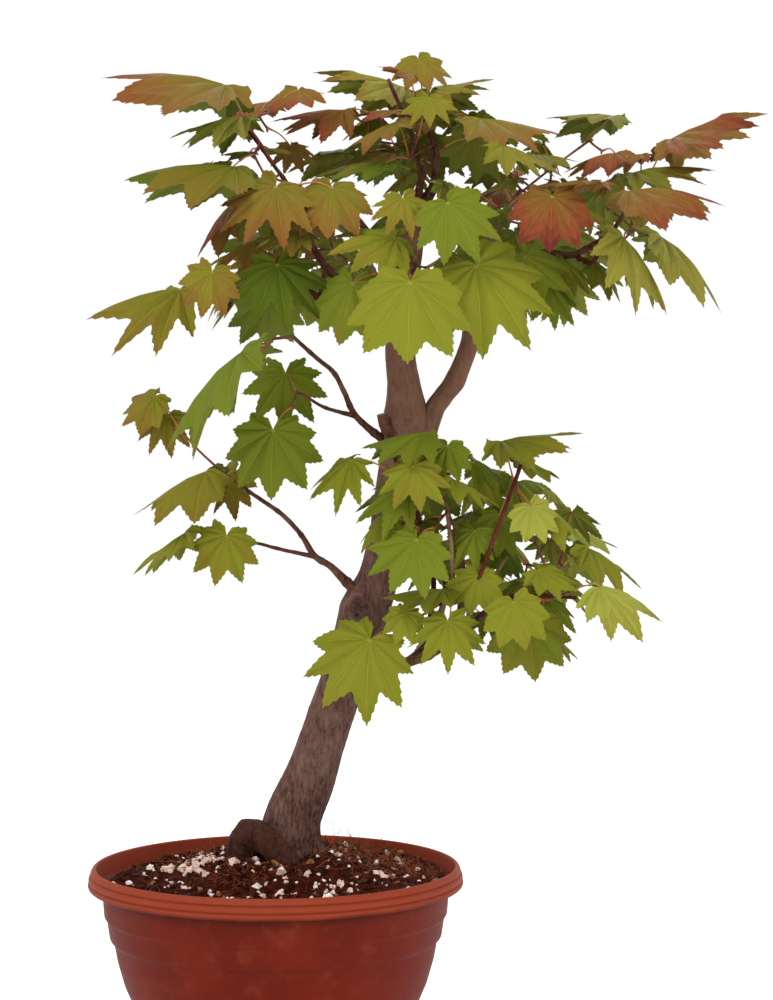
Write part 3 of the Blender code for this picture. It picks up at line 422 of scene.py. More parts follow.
def twig(line, thick, thin):
    """A three-sided twig along the line, from thick to thin."""
    widths = [thick + (thin - thick) * index / (len(line) - 1) for index in range(len(line))]
    return tube(line, widths, 3, turn=0.4)


class Mass:
    """One mass of foliage: a stem, twigs that branch from it, and leaves at their ends."""

    def __init__(self, rule, masses, limbs):
        self.rule, self.masses, self.limbs = rule, masses, limbs
        self.draw = random.Random(rule["seed"])
        self.heart = Vector(rule["heart"])
        bough = LIMBS[rule["bough"]]
        line, widths = smooth_line(bough["line"], bough["thick"], 2)
        ahead = (line[-1] - line[-2]).normalized()
        root = line[-1] + ahead * GAP
        reach = (self.heart - root).length
        start = root + ahead * min(STEM_START, reach / 3)
        bend = root.lerp(self.heart, 0.5) + ahead * reach * STEM_BOW
        self.stem_line = [start, bend, self.heart]
        self.nodes = [start.lerp(bend, 0.6), bend, bend.lerp(self.heart, 0.5), self.heart]
        stem = twig([root, *self.stem_line], max(widths[-1] * 0.9, TWIG_THICK), TWIG_THICK)
        self.woods, self.leaves, self.centres, self.kept = [tree_of(stem)], [], [], []

    def free(self, tests, own):
        """Whether surfaces keep clear of the limbs, of the other masses and of their own mass's pieces."""
        others = [tree for mass in self.masses if mass is not self for tree in mass.woods + mass.leaves]
        return not any(meets(test, tree) for test in tests for tree in self.limbs + own + others)

    def grow(self, foot, midrib, normal, length, fold=None, tint=()):
        """Adds a leaf, its petiole and the twig that carries it from the nearest node, if there is room."""
        droop = self.draw.uniform(*DROOPS)
        if fold is None:
            fold = self.draw.uniform(*FOLDS)
        space, shape = self.rule["space"], (foot, midrib, normal, length, droop, fold)
        wide = leaf_surface(*shape, CLEARANCE)
        if not all(within(space, point) for point in wide[0]):
            return False
        blade = tree_of(wide)
        if not self.free([blade], self.leaves + self.woods):
            return False
        for near in sorted(self.nodes, key=lambda node: (node - foot).length)[:NODES_TRIED]:
            gap = foot - near
            petiole = min(PETIOLE_LENGTH, PETIOLE_SHARE * gap.length)
            node = foot - gap.normalized() * petiole - Vector((0, 0, PETIOLE_SINK * petiole))
            if (node - near).length < SHORTEST_TWIG:
                node = near
            arc = node.lerp(foot, 0.55) + Vector((0, 0, PETIOLE_BOW * (foot - node).length))
            if not all(within(space, place) for place in (node, arc)):
                continue
            stalk = [node.lerp(arc, 0.25), arc, arc.lerp(foot, 0.9)]
            tests = [tree_of(twig(stalk, PETIOLE_ROOM, PETIOLE_ROOM))]
            if node is not near:
                tests.append(tree_of(twig([near.lerp(node, 0.2), node], *TWIG_ROOM)))
            if self.free(tests, self.leaves):
                break
        else:
            return False
        if node is not near:
            self.nodes += [near.lerp(node, 0.5), node]
        self.woods += tests
        self.leaves.append(blade)
        self.centres.append(foot + midrib * length * 0.45)
        self.kept.append((shape, (near, node, arc), tint))
        return True

    def lead(self):
        """Grows the leaves that make the outline. One with no room is drawn in a little towards the heart,
        turned flatter and made smaller until it has some."""
        for leader in self.rule.get("leaders", ()):
            foot, (heading, lean, face, length, fold), tint = leader[:3], leader[3:8], leader[8:]
            for step in range(LEAD_STEPS):
                place = Vector(foot).lerp(self.heart, DRAWN_IN * step)
                midrib, normal = leaf_frame(heading, lean, face * (1 - TURNED_BACK * step))
                if self.grow(place, midrib, normal, length * (1 - DRAWN_IN * step), fold, tint):
                    break

    def fill(self, wanted, sizes):
        """Adds leaves by the rule: each where the mass is emptiest, heading away from its heart."""
        box = self.rule.get("inner", self.rule["space"])
        for _ in range(FILL_TRIES):
            if not wanted:
                break
            best, best_room = self.heart, -1.0
            for _ in range(PLACES_TRIED):
                way = Vector([self.draw.gauss(0, 1) for _ in range(3)]).normalized()
                way *= self.draw.uniform(0.3, 1.0) ** (1 / 3)
                place = Vector([(low + high) / 2 + share * (high - low) / 2
                                for share, (low, high) in zip(way, box)])
                room = min(((centre - place).length for centre in self.centres), default=100.0)
                if room > best_room:
                    best, best_room = place, room
            away = Vector((best.x - self.heart.x, best.y - self.heart.y, 0))
            if away.length < 5:
                away = Vector((0, 1, 0))
            away = Matrix.Rotation(self.draw.uniform(-STRAY, STRAY), 3, "Z") @ away.normalized()
            sink = math.radians(self.draw.uniform(*SINKS))
            midrib = away * math.cos(sink) - Vector((0, 0, math.sin(sink)))
            up = Vector((self.draw.uniform(-0.3, 0.3), self.draw.uniform(-0.3, 0.3), 1)) + away * 0.25
            length = self.draw.uniform(*sizes)
            if self.grow(best - away * length * 0.4, midrib, upright(up, midrib), length):
                wanted -= 1


def grow_masses():
    """Every mass with the leaves of its outline, then those that fill its solid, then the finer ones."""
    limbs = [tree_of(limb_surface(name, CLEARANCE)) for name in ("trunk", *LIMBS)]
    masses = []
    for rule in MASSES.values():
        masses.append(Mass(rule, masses, limbs))
    for mass in masses:
        mass.lead()
    for count, sizes in (("fill", FILL_SIZES), ("finer", FINER_SIZES)):
        for mass in masses:
            mass.fill(mass.rule[count], sizes)
    return masses


# Surfaces as arrays

# The lattice that relief is blended from
LATTICE = (97, 193)
# How far up a tube with a level foot its rings come round to stand across its line
LEVEL_REACH = 40.0
# A pebble before its corners are pushed in or out: the angles of its rings, and how many corners each has
PEBBLE_RINGS = (-62, -22, 22, 62)
PEBBLE_SIDES = 7


def in_metres(points):
    """Points in millimetres, as an array of rows in metres."""
    return np.asarray(points, float).reshape(-1, 3) * MM


def unit(ways):
    """Ways scaled to a length of one."""
    return ways / np.linalg.norm(ways, axis=-1, keepdims=True)


def turns(sides):
    """Angles spread evenly round a circle."""
    return np.linspace(0, 2 * np.pi, sides, endpoint=False)


def grid_faces(rows, columns, around=False, start=0):
    """The four-cornered faces of a grid of rows by columns, closed round its columns if it goes round."""
    row = np.arange(rows - 1)[:, None] * columns
    column = np.arange(columns if around else columns - 1)[None, :]
    after = (column + 1) % columns
    corners = (row + column, row + after, row + columns + after, row + columns + column)
    return np.stack(corners, -1).reshape(-1, 4) + start


def noise(across, along, seed, wrap=LATTICE[0]):
    """Smooth random relief from -1 to 1: random values on a square lattice, blended between its corners.
    The lattice repeats after wrap steps across."""
    lattice = np.random.default_rng(seed).uniform(-1, 1, LATTICE)
    low_a, low_b = np.floor(across).astype(int), np.floor(along).astype(int)
    a, b = across - low_a, along - low_b
    a, b = a * a * (3 - 2 * a), b * b * (3 - 2 * b)
    left, right = low_a % wrap % LATTICE[0], (low_a + 1) % wrap % LATTICE[0]
    under, over = low_b % LATTICE[1], (low_b + 1) % LATTICE[1]
    bottom = lattice[left, under] * (1 - a) + lattice[right, under] * a
    top = lattice[left, over] * (1 - a) + lattice[right, over] * a
    return bottom * (1 - b) + top * b


def dense_line(points, thick, count):
    """A smooth curve through the points as (count, 3) places and their thicknesses, evenly spread."""
    line, widths = smooth_line(points, thick, 12)
    line = np.array([tuple(place) for place in line])
    gone = np.concatenate([[0], np.cumsum(np.linalg.norm(np.diff(line, axis=0), axis=1))])
    wanted = np.linspace(0, gone[-1], count)
    places = np.stack([np.interp(wanted, gone, line[:, axis]) for axis in range(3)], 1)
    return places, np.interp(wanted, gone, widths)


def unrolled(rows, sides, length):
    """A tube laid flat: each side's share of the way round, and how far along each ring is."""
    return np.arange(sides)[None, :] / sides, np.linspace(0, length, rows)[:, None]


def swept(line, radii, sides, level_foot=False):
    """A round profile carried along a line: each ring stands across the line's own way at its place.
    radii is one radius per ring, or one per ring and side."""
    ahead = unit(np.gradient(line, axis=0))
    if level_foot:
        blend = np.clip(np.linalg.norm(line - line[0], axis=1) / LEVEL_REACH, 0, 1)[:, None]
        ahead = unit(ahead * blend + np.array([0, 0, 1.0]) * (1 - blend))
    mean = np.abs(ahead.mean(0))
    guide = np.eye(3)[int(np.argmin(mean))] if mean[0] > 0.75 else np.array([1.0, 0, 0])
    side = unit(guide - ahead * (ahead @ guide)[:, None])
    other = np.cross(ahead, side)
    angle = turns(sides)
    ring = side[:, None] * np.cos(angle)[None, :, None] + other[:, None] * np.sin(angle)[None, :, None]
    radii = np.asarray(radii)
    if radii.ndim == 1:
        radii = radii[:, None]
    return line[:, None] + ring * radii[:, :, None]


def piece(name, points, faces, finish, smooth=True, normals=None):
    """An object from points in metres and faces, with its finish, riding with the plant."""
    mesh = bpy.data.meshes.new(name)
    mesh.from_pydata(np.asarray(points).tolist(), [], faces)
    mesh.materials.append(finish)
    mesh.polygons.foreach_set("use_smooth", np.full(len(mesh.polygons), smooth))
    if normals is not None:
        mesh.normals_split_custom_set_from_vertices(normals.tolist())
    made = bpy.data.objects.new(name, mesh)
    bpy.context.scene.collection.objects.link(made)
    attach(made, "root")
    return made


class Shell:
    """Closed tubes gathered into one piece."""

    def __init__(self, *tubes):
        self.points, self.quads, self.caps, self.total = [], [], [], 0
        for rings in tubes:
            self.tube(rings)

    def tube(self, rings):
        """Adds a tube from its rings, with both ends closed."""
        rows, sides = rings.shape[:2]
        foot = np.arange(sides) + self.total
        self.quads.append(grid_faces(rows, sides, True, self.total))
        self.caps += [tuple(foot.tolist()[::-1]), tuple((foot + (rows - 1) * sides).tolist())]
        self.points.append(rings.reshape(-1, 3))
        self.total += rows * sides

    def make(self, name, finish, slot):
        """The piece as an object that rides with the plant."""
        faces = [tuple(face) for face in np.concatenate(self.quads).tolist()] + self.caps
        return piece(name, in_metres(np.concatenate(self.points)), faces, finish)


def make_pebbles(name, places, sizes, shape, finish, seed, ways=None, rough=0.35):
    """Small closed lumps: rings of corners round a ball, each pushed in or out by chance, stretched to
    the shape along x, y and z and then turned, by chance or to the given ways."""
    draw = np.random.default_rng(seed)
    count, sides = len(places), PEBBLE_SIDES
    height = np.radians(PEBBLE_RINGS)[:, None]
    angle = turns(sides)
    ball = np.stack([np.sin(height) + 0 * angle, np.cos(height) * np.cos(angle),
                     np.cos(height) * np.sin(angle)], -1).reshape(-1, 3)
    corners = ball[None] * (1 + draw.uniform(-rough, rough, (count, len(ball), 1))) * np.array(shape)
    first = unit(draw.normal(size=(count, 3)) if ways is None else np.asarray(ways, float))
    second = unit(np.cross(first, draw.normal(size=(count, 3))))
    third = np.cross(first, second)
    corners = (corners[..., :1] * first[:, None] + corners[..., 1:2] * second[:, None]
               + corners[..., 2:] * third[:, None]) * np.asarray(sizes)[:, None, None] + places[:, None]
    starts = np.arange(count)[:, None, None] * len(ball)
    quads = grid_faces(len(height), sides, True)
    ends = np.array([np.arange(sides)[::-1], np.arange(sides) + (len(height) - 1) * sides])
    faces = (quads[None] + starts).reshape(-1, 4).tolist() + (ends[None] + starts).reshape(-1, sides).tolist()
    return piece(name, in_metres(corners), faces, finish, smooth=False)


# Leaves

# The outline's lobe tips and the cuts between them: (angle from the midrib, reach), and where it turns
# in to the petiole. TEETH: the outline's points between each tip and the cut or base on either side of it.
LOBE_TIPS = ((0, 1.0), (32, 0.95), (63, 0.81), (94, 0.60), (128, 0.42))
LOBE_CUTS = ((15.5, 0.66), (47, 0.61), (79, 0.50), (112, 0.36))
LEAF_BASE = (156, 0.18)
TEETH = ((0, 7), (7, 7), (7, 7), (6, 5), (5, 4))
TOOTH = 0.013
LOBE_BOW = 0.006
# The reach of the cuts on the most and the least deeply cut leaves, as shares of the ones above
CUT_RANGE = (0.84, 1.12)
RINGS = (0.05, 0.34, 0.62, 0.86, 1.0)
BLADE = 0.45
# Shares of a leaf's length: half a vein's width at its foot, how high the blade bulges between veins, and
# the waves of its edge, each (how many round the leaf, how far the leaf's own number shifts it, height)
VEIN_HALF = 0.005
BULGE = 0.078
EDGE_WAVES = ((5, 40, 0.030), (9, 90, 0.022))
TIP_WAVE = 0.05

# Greens of the leaves, from deep to lime, and the tints that each goes through as it turns, in TURNS steps
GREENS = (("deep", "536117", "leaf_green"), ("mid", "66701D", "leaf_green"),
          ("yellow", "767820", "leaf_warm"), ("lime", "8E9038", "leaf_warm"))
TURNED = ("785C24", "7C4025", "60271C")
TURNS = 10
VEIN = "A8AA48"
UNDERSIDES = (("undersides_green", "6B742B", "leaf_green"), ("undersides_turned", "80602E", "leaf_russet"),
              ("undersides_yellow", "777B2E", "leaf_warm"))
# How far one leaf strays from its mass's tint: its green, and its turn on a green and on a turned mass
GREEN_STRAY = 0.6
TURN_STRAY = (0.02, 0.35)
# From which turn on the underside is the turned one
UNDER_TURN = 0.45
# The numbers that the finishes of the undersides and of the veins start from
UNDER_KEY = 100
VEIN_KEY = 200
# How far a twig bows, as a share of its length and at most. Thicknesses along a twig, from node to node,
# and along a petiole
TWIG_BOW = 0.035
BOW_LIMIT = 1.2
TWIG_WIDTHS = (2.3, 1.9, 1.7)
PETIOLE_WIDTHS = (1.5, 1.15, 1.25)


def half_outline(cut_reach):
    """One side of a leaf's outline in unit lengths, as rows of (along, aside, along and aside with teeth,
    share of the way from a vein to the cut beside it, side of the vein that a vein's column lies on)."""
    def place(angle, reach):
        """The point at an angle from the midrib and a reach from the foot."""
        return np.array([math.cos(math.radians(angle)), math.sin(math.radians(angle))]) * reach

    rows = []
    ends = [place(*cut) * cut_reach for cut in LOBE_CUTS] + [place(*LEAF_BASE)]
    for lobe, tip in enumerate(LOBE_TIPS):
        tip = place(*tip)
        for side in (-1, 1) if lobe else (1,):
            edge = ends[lobe - 1] if side < 0 else ends[lobe]
            steps = TEETH[lobe][0 if side < 0 else 1]
            way = tip - edge
            out = unit(np.array([-way[1], way[0]]) * -side)
            if out @ (tip + edge) < 0:
                out = -out
            run = []
            for step in range(1, steps + 1)[::-side]:
                t = step / (steps + 1)
                plain = edge + way * t + out * LOBE_BOW * math.sin(math.pi * t)
                tooth = TOOTH if step % 2 == 0 else -TOOTH * 0.55
                toothed = plain + out * tooth + unit(way) * tooth * 0.9
                run.append((*plain, *toothed, 1 - t, 0))
            if side < 0:
                rows += run + [(*tip, *tip, 0, -1)]
            else:
                rows += [(*tip, *tip, 0, 1)] + run + [(*edge, *edge, 1, 0)]
    return np.array(rows)


def leaf_outline(cut_reach=1.0):
    """The whole outline, from the base round the midrib's tip to the base again."""
    half = half_outline(cut_reach)
    other = half[::-1] * np.array([1, -1, 1, -1, 1, -1])
    return np.concatenate([other, half])


def leaf_points(leaves, rings, under):
    """Points of every leaf's blade on a grid of rings by outline columns. A point lies at its ring's share
    of the way to the outline; beside a vein it keeps the vein's half width instead. The blade sinks with
    the square of the reach, its sides hang from the midrib, it bulges up between veins and its edge
    waves. leaves: one row each of foot, midrib, across and normal (3 each), length, droop, fold, wave, and
    how shallow its cuts are from 0 to 1."""
    foot, midrib, across, normal = (leaves[:, None, None, 3 * k:3 * k + 3] for k in range(4))
    length, droop, fold, wave, shallow = (leaves[:, index, None, None] for index in range(12, 17))
    outline, shallowest = (leaf_outline(cut_reach) for cut_reach in CUT_RANGE)
    plain, toothed = (outline[None, :, part] * (1 - shallow) + shallowest[None, :, part] * shallow
                      for part in (slice(0, 2), slice(2, 4)))
    between, vein = outline[:, 4], outline[:, 5]
    rings = np.array(rings)[:, None]
    flat = rings[None, ..., None] * np.where(rings[None, ..., None] > 0.99, toothed[:, None], plain[:, None])
    tips = unit(outline[:, :2])
    beside = np.stack([-tips[:, 1], tips[:, 0]], 1)
    half_width = np.where(vein != 0, VEIN_HALF * (1.04 - 0.94 * rings), 0.0)
    flat = flat + ((vein * half_width)[..., None] * beside[None])[None]
    along, aside = flat[..., 0], flat[..., 1]
    rings = rings[None]
    angle = np.arctan2(aside, along)
    bulge = np.sin(between * np.pi / 2) * rings ** 0.8 * (1.15 - rings) * BULGE
    waves = sum(height * np.sin(count * angle + wave * shift) for count, shift, height in EDGE_WAVES)
    edge = rings ** 3 * waves
    sink = droop * (along ** 2 + aside ** 2) + fold * (np.sqrt(aside ** 2 + 0.0016) - 0.04) - bulge - edge
    sink = sink + TIP_WAVE * rings ** 6 * np.sin(wave * 60 + angle * 2)
    points = midrib * along[..., None] + across * aside[..., None] - normal * sink[..., None]
    points = foot + points * length[..., None]
    if under:
        points = points - normal * (BLADE * (1 - rings ** 4))[..., None]
    return points


def grid_normals(points, under):
    """Normals of each leaf's grid: across the ways along its rings and its columns."""
    out = points - points[:, :1]
    out = out / np.maximum(np.linalg.norm(out, axis=-1, keepdims=True), 1e-9)
    round_way = np.roll(points, -1, 2) - np.roll(points, 1, 2)
    round_way[:, :, 0], round_way[:, :, -1] = round_way[:, :, 1], round_way[:, :, -2]
    round_way[:, -1] = round_way[:, -2]
    made = np.cross(out, round_way)
    made[:, 0] = made[:, 1]
    made /= np.maximum(np.linalg.norm(made, axis=-1, keepdims=True), 1e-9)
    return -made if under else made


def gather_leaves(masses):
    """One row for each leaf of all the masses, and each one's green and how far it has turned."""
    draw = random.Random(5)
    rows, tints = [], []
    for mass in masses:
        green, turned = mass.rule["tint"]
        for (foot, midrib, normal, length, droop, fold), _, tint in mass.kept:
            rows.append((*foot, *midrib, *normal.cross(midrib), *normal, length, droop, fold,
                         draw.random(), draw.random()))
            usual = (green + draw.gauss(0, GREEN_STRAY),
                     turned + draw.gauss(0, TURN_STRAY[0] + TURN_STRAY[1] * turned))
            green_of, turn_of = tint or usual
            tints.append((min(max(round(green_of), 0), len(GREENS) - 1), turn_of))
            # One more draw for each leaf keeps the next leaf's numbers as they are
            draw.random()
    return np.array(rows), np.array(tints)


def face_kinds(tints):
    """For each leaf and each of its faces, the numbers of the finishes on its upper and its under side.
    Above, the colour follows the leaf's tint, deeper towards the tips and on some lobes, and the veins
    are paler. Under it, the colour follows the tint alone."""
    draw = np.random.default_rng(9)
    outline = leaf_outline()
    column_of = np.tile(np.arange(len(outline) - 1), len(RINGS) - 1)
    in_vein = ((outline[:-1, 5] == -1) & (outline[1:, 5] == 1))[column_of]
    lobe_of = np.cumsum(outline[:-1, 4] == 1)[column_of]
    ring_share = np.repeat([(low + high) / 2 for low, high in zip(RINGS, RINGS[1:])], len(outline) - 1)
    reach = np.linalg.norm(outline[:-1, :2] + outline[1:, :2], axis=1)[column_of] / 2 * ring_share
    green, turn = tints[:, :1].astype(int), tints[:, 1:]
    turned = turn + (reach[None] ** 2 - 0.34) * (0.08 + 1.05 * turn)
    turned = turned + draw.normal(0, 0.07, (len(tints), lobe_of.max() + 1))[:, lobe_of] * (0.25 + turn)
    turned = turned + draw.normal(0, 0.02, turned.shape)
    level = np.clip(np.round(turned * (TURNS - 1)), 0, TURNS - 1).astype(int)
    veins = np.where(level > 2, VEIN_KEY + len(GREENS) + level // 4, VEIN_KEY + green)
    upper = np.where(in_vein[None], veins, green * TURNS + level)
    under = np.where(turn > UNDER_TURN, UNDER_KEY + 1, UNDER_KEY + 2 * (green > 1))
    return upper, np.broadcast_to(under, upper.shape)


def leaf_side(leaves, under):
    """Points and normals of one side of every leaf, as (leaf, point) arrays, and the corner numbers of one
    leaf's faces: two triangles to each step of its grid, with the same diagonal on both sides of the
    blade, and a fan of faces round its foot."""
    points = leaf_points(leaves, RINGS, under)
    normals = grid_normals(points, under)
    count, rows, columns = points.shape[:3]
    foot, foot_normal = points[:, :1].mean(2), normals[:, 1].mean(1)[:, None]
    points = np.concatenate([points.reshape(count, -1, 3), foot], 1)
    normals = np.concatenate([normals.reshape(count, -1, 3), foot_normal], 1)
    quads = grid_faces(rows, columns)
    halves = np.stack([quads[:, [0, 1, 2]], quads[:, [0, 2, 3]]], 1)
    column = np.arange(columns - 1)
    fan = np.stack([column + 1, column, np.full(columns - 1, rows * columns)], 1)
    if under:
        return points, normals, halves, fan
    return points, normals, halves[:, :, ::-1], fan[:, ::-1]


def make_leaves(masses, finishes):
    """The leaves of the whole plant, as one piece for each base colour of each side. The fans round the
    leaves' feet go with the veins above and with the first colour of the undersides below."""
    leaves, tints = gather_leaves(masses)
    upper, lower = face_kinds(tints)
    for under, kinds, fan_kind in ((False, upper, VEIN_KEY + 1), (True, lower, UNDER_KEY)):
        points, normals, halves, fan = leaf_side(leaves, under)
        starts = np.arange(len(points)) * points.shape[1]
        for kind in np.unique(kinds):
            leaf_number, face_number = np.nonzero(kinds == kind)
            corners = (halves[face_number] + starts[leaf_number, None, None]).ravel()
            if kind == fan_kind:
                corners = np.concatenate([corners, (fan[None] + starts[:, None, None]).ravel()])
            used, faces = np.unique(corners, return_inverse=True)
            name, finish, slot = finishes[int(kind)]
            made = piece(name, in_metres(points.reshape(-1, 3)[used]), faces.reshape(-1, 3).tolist(), finish,
                         normals=normals.reshape(-1, 3)[used])
            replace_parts(made, *MASSES)


def make_twigs(masses, finishes):
    """The twigs, petioles and buds: each twig is a slim tube that bows a little from node to node, with
    a bud on either side of its tip."""
    draw = random.Random(21)
    twigs, petioles, buds = Shell(), Shell(), []
    for mass in masses:
        for (foot, midrib, _, length, _, _), (near, node, arc), _ in mass.kept:
            if (node - near).length > 1:
                side = Vector([draw.uniform(-1, 1) for _ in range(3)]) * TWIG_BOW * (node - near).length
                middle = near.lerp(node, 0.5) + side.normalized() * min(side.length, BOW_LIMIT)
                line, widths = dense_line([near, middle, node], TWIG_WIDTHS, 9)
                widths[-2:] *= 1.25
                twigs.tube(swept(line, widths / 2, 7))
                way = (node - near).normalized()
                for turn in (-1, 1):
                    out = way.orthogonal().normalized() * turn
                    buds.append((*(node + out * 1.2 + way * 1.4), *(way * 1.4 + out).normalized()))
            end = foot + midrib * 0.02 * length
            line, widths = dense_line([node, arc, end], PETIOLE_WIDTHS, 10)
            widths[:2] *= (1.5, 1.2)
            petioles.tube(swept(line, widths / 2, 6))
    buds = np.array(buds)
    for made in (twigs.make("twigs", finishes["twig"], "young_bark"),
                 petioles.make("petioles", finishes["petiole"], "leaf_russet"),
                 make_pebbles("buds", buds[:, :3], np.full(len(buds), 1.0), (2.1, 1, 1), finishes["bud"],
                              3, ways=buds[:, 3:], rough=0.08)):
        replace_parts(made, *MASSES)


# Wood

# The trunk's bark: where it starts, under the soil's top, and its line past the fork and up the leader,
# each place with its thickness
TRUNK_START = ((7.0, 36.0, GROUND - 4), 68.0)
LEADER_LINE = (
    ((101.5, 10.2, 515), 33.5), ((102.6, 9, 533), 30.0), ((102, 8, 552), 26.5), ((100, 7.5, 580), 25.0),
    ((102, 6.5, 630), 23.5), ((106, 5, 662), 25.0), ((107.5, 5, 680), 23.0), ((108, 5, 689), 15.0),
    ((108, 5, 691), 5.0),
)
TRUNK_LENGTH = 530
# How far up the flare's lobes reach, and the swelling under the fork: its height, reach and lift
LOBES_REACH = 32.0
FORK_SWELLING = (521, 22.0, 5.5)
# The right limb's bark starts inside the trunk and ends past the solid's tip. Its rings of swollen bark:
# (share of the way up it, reach, height)
RIGHT_LIMB_START = ((112, 10, 486), (119.5, 9.8, 508))
RIGHT_LIMB_END = (196, -14, 706)
RIGHT_LIMB_THICK = (12, 17.5, 16.5, 16, 15.2, 14.6, 13.2, 10.5, 7, 3)
RIGHT_LIMB_LENGTH = 240
RIGHT_LIMB_RINGS = ((0.30, 7, 1.3), (0.47, 6, 1.6), (0.62, 8, 1.5), (0.80, 5, 1.0))
# The boughs with olive bark
OLIVE_BOUGHS = ("middle_bough",)
# The root that arches beside the trunk's foot, how thick it is, and its length for its bark
ROOT_LINE = ((-33, 14, 154), (-31, 12, 171), (-20, 8, 186), (-6, 1, 181), (6, -4, 169), (12, -6, 156))
ROOT_THICK = (19, 23, 27, 23, 25, 20)
ROOT_LENGTH = 80
# Knots and scars on the trunk: height, side (degrees: 0 right, 180 left, 270 front), size, lift, hollow
KNOTS = (
    (374, 205, 13.0, 4.2, 0.0), (373, 240, 8.5, 3.6, 3.4), (364, 254, 4.5, 2.6, 2.8),
    (381, 228, 4.0, 2.2, 2.6), (366, 228, 4.0, 2.4, 2.6), (380, 256, 3.5, 1.8, 2.2),
    (522, 285, 7.0, 3.6, 1.0), (410, 262, 5.0, 1.6, 1.2), (446, 200, 4.5, 1.4, 0.8),
    (300, 300, 6.0, 1.6, 0.6), (250, 235, 7.0, 1.6, 0.5), (486, 70, 6.5, 2.2, 1.6),
    (330, 40, 6.0, 2.0, 1.4), (672, 250, 7.0, 3.0, 1.0), (655, 110, 5.0, 2.4, 1.0),
)
# How wide the hollow in a knot is, as a share of its size
KNOT_HOLLOW = 0.42
# A bough's collar: how far it swells, and how many of its thicknesses it reaches. The rings of bark at its
# nodes: the first one's place, the step to the next, how far from the tip they end, their swell and reach
COLLAR = (0.35, 3.0)
NODE_RINGS = (24, 27, 8, 0.16, 2.2)
# Cut twigs and stubs: the line of each, its thickness at both ends, and the kind of its bark
STUBS = (
    (((128, 0, 342), (133, -34, 372), (141, -40, 398), (136, -40, 452)), (5.0, 3.2), "pale"),
    (((140, -14, 348), (154, -48, 382), (162, -52, 400), (194, -52, 486)), (4.2, 3.0), "dark"),
    (((122, 0, 350), (126, -20, 400), (112, -28, 450), (94, -30, 494)), (4.6, 3.0), "dark"),
    (((172, -18, 374), (196, -20, 382), (240, -22, 380)), (3.4, 2.6), "dark"),
    (((170, -17, 372), (172, -20, 392), (184, -22, 412)), (3.4, 2.6), "pale"),
    (((107, 3, 668), (116, -8, 712), (122, -14, 728)), (7.0, 5.2), "young"),
    (((117, 2, 694), (112, -10, 740), (90, -26, 792)), (4.4, 3.0), "young"),
    (((21, -16, 684), (10, -26, 708), (-22, -34, 752)), (4.2, 2.4), "dark"),
    (((40, -10, 645), (34, -20, 616), (28, -26, 608)), (3.6, 2.8), "young"),
    (((240, -4, 655), (252, -8, 648), (258, -8, 656), (250, -8, 662)), (3.8, 2.6), "dark"),
    (((96, -2, 508), (88, -6, 516), (84.8, -8, 527)), (9.5, 8.0), "young"),
)
# A stub's usual length, the place of its one ring of bark, and its cut end: places along it and shares of
# its thickness there
STUB_LENGTH = 60
STUB_RING = 38
CUT_PLACES = (-0.3, 0.15, 0.25)
CUT_SHARES = (0.94, 0.94, 0.7)
STUB_BARKS = {"young": "young_bark", "dark": "dark_stub", "pale": "pale_stub"}


def bark_relief(share, along, seed, columns):
    """Relief of smooth young bark in millimetres: long streaks, broad swells and faint level wrinkles."""
    streaks = noise(share * columns, along / 20.0, seed, columns) * 0.34
    fine = noise(share * columns * 2, along / 11.0, seed + 1, columns * 2) * 0.20
    swells = noise(share * 6, along / 30.0, seed + 2, 6) * 0.75
    wrinkles = noise(share * 8, along / 2.6, seed + 3, 8) * 0.13
    return streaks + fine + swells + wrinkles


def swollen(along, place, reach):
    """A smooth swelling of height one round a place, gone within about twice its reach."""
    return np.exp(-((along - place) / reach) ** 2)


def make_trunk(finish):
    """The trunk and its leader as one tapering tube with a lobed root flare, knots and bark relief."""
    stations = [TRUNK_START]
    stations += [((across, depth, height), thick) for height, across, depth, thick in TRUNK_LINE[1:-2]]
    stations += LEADER_LINE
    rows, sides = 440, 132
    line, widths = dense_line([place for place, _ in stations], [thick for _, thick in stations], rows)
    share, along = unrolled(rows, sides, TRUNK_LENGTH)
    angle, height, widths = share * 2 * np.pi, line[:, 2:3], widths[:, None]
    radii = widths / 2 + bark_relief(share, along, 31, 22) * np.clip(widths / 32, 0.2, 1)
    low = np.clip(1 - (height - GROUND) / LOBES_REACH, 0, 1.15)
    radii = radii * (1 + low ** 2 * (FLARE * np.cos(5 * angle + 0.7) + 0.07 * np.cos(3 * angle - 0.6)
                                     + 0.04 * noise(share * 12, along / 9, 40, 12)))
    fork_height, fork_reach, fork_lift = FORK_SWELLING
    radii = radii + swollen(height, fork_height, fork_reach) * np.clip(np.cos(angle), 0, 1) ** 2 * fork_lift
    for knot_height, side, size, lift, hollow in KNOTS:
        off = (angle - math.radians(side) + np.pi) % (2 * np.pi) - np.pi
        apart = np.sqrt((off * widths / 2) ** 2 + (height - knot_height) ** 2) / size
        radii = radii + lift * np.exp(-apart ** 2) - (lift + hollow) * np.exp(-(apart / KNOT_HOLLOW) ** 2)
    shell = Shell(swept(line, radii, sides, level_foot=True))
    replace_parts(shell.make("trunk_bark", finish, "bark"), "trunk", "leader")


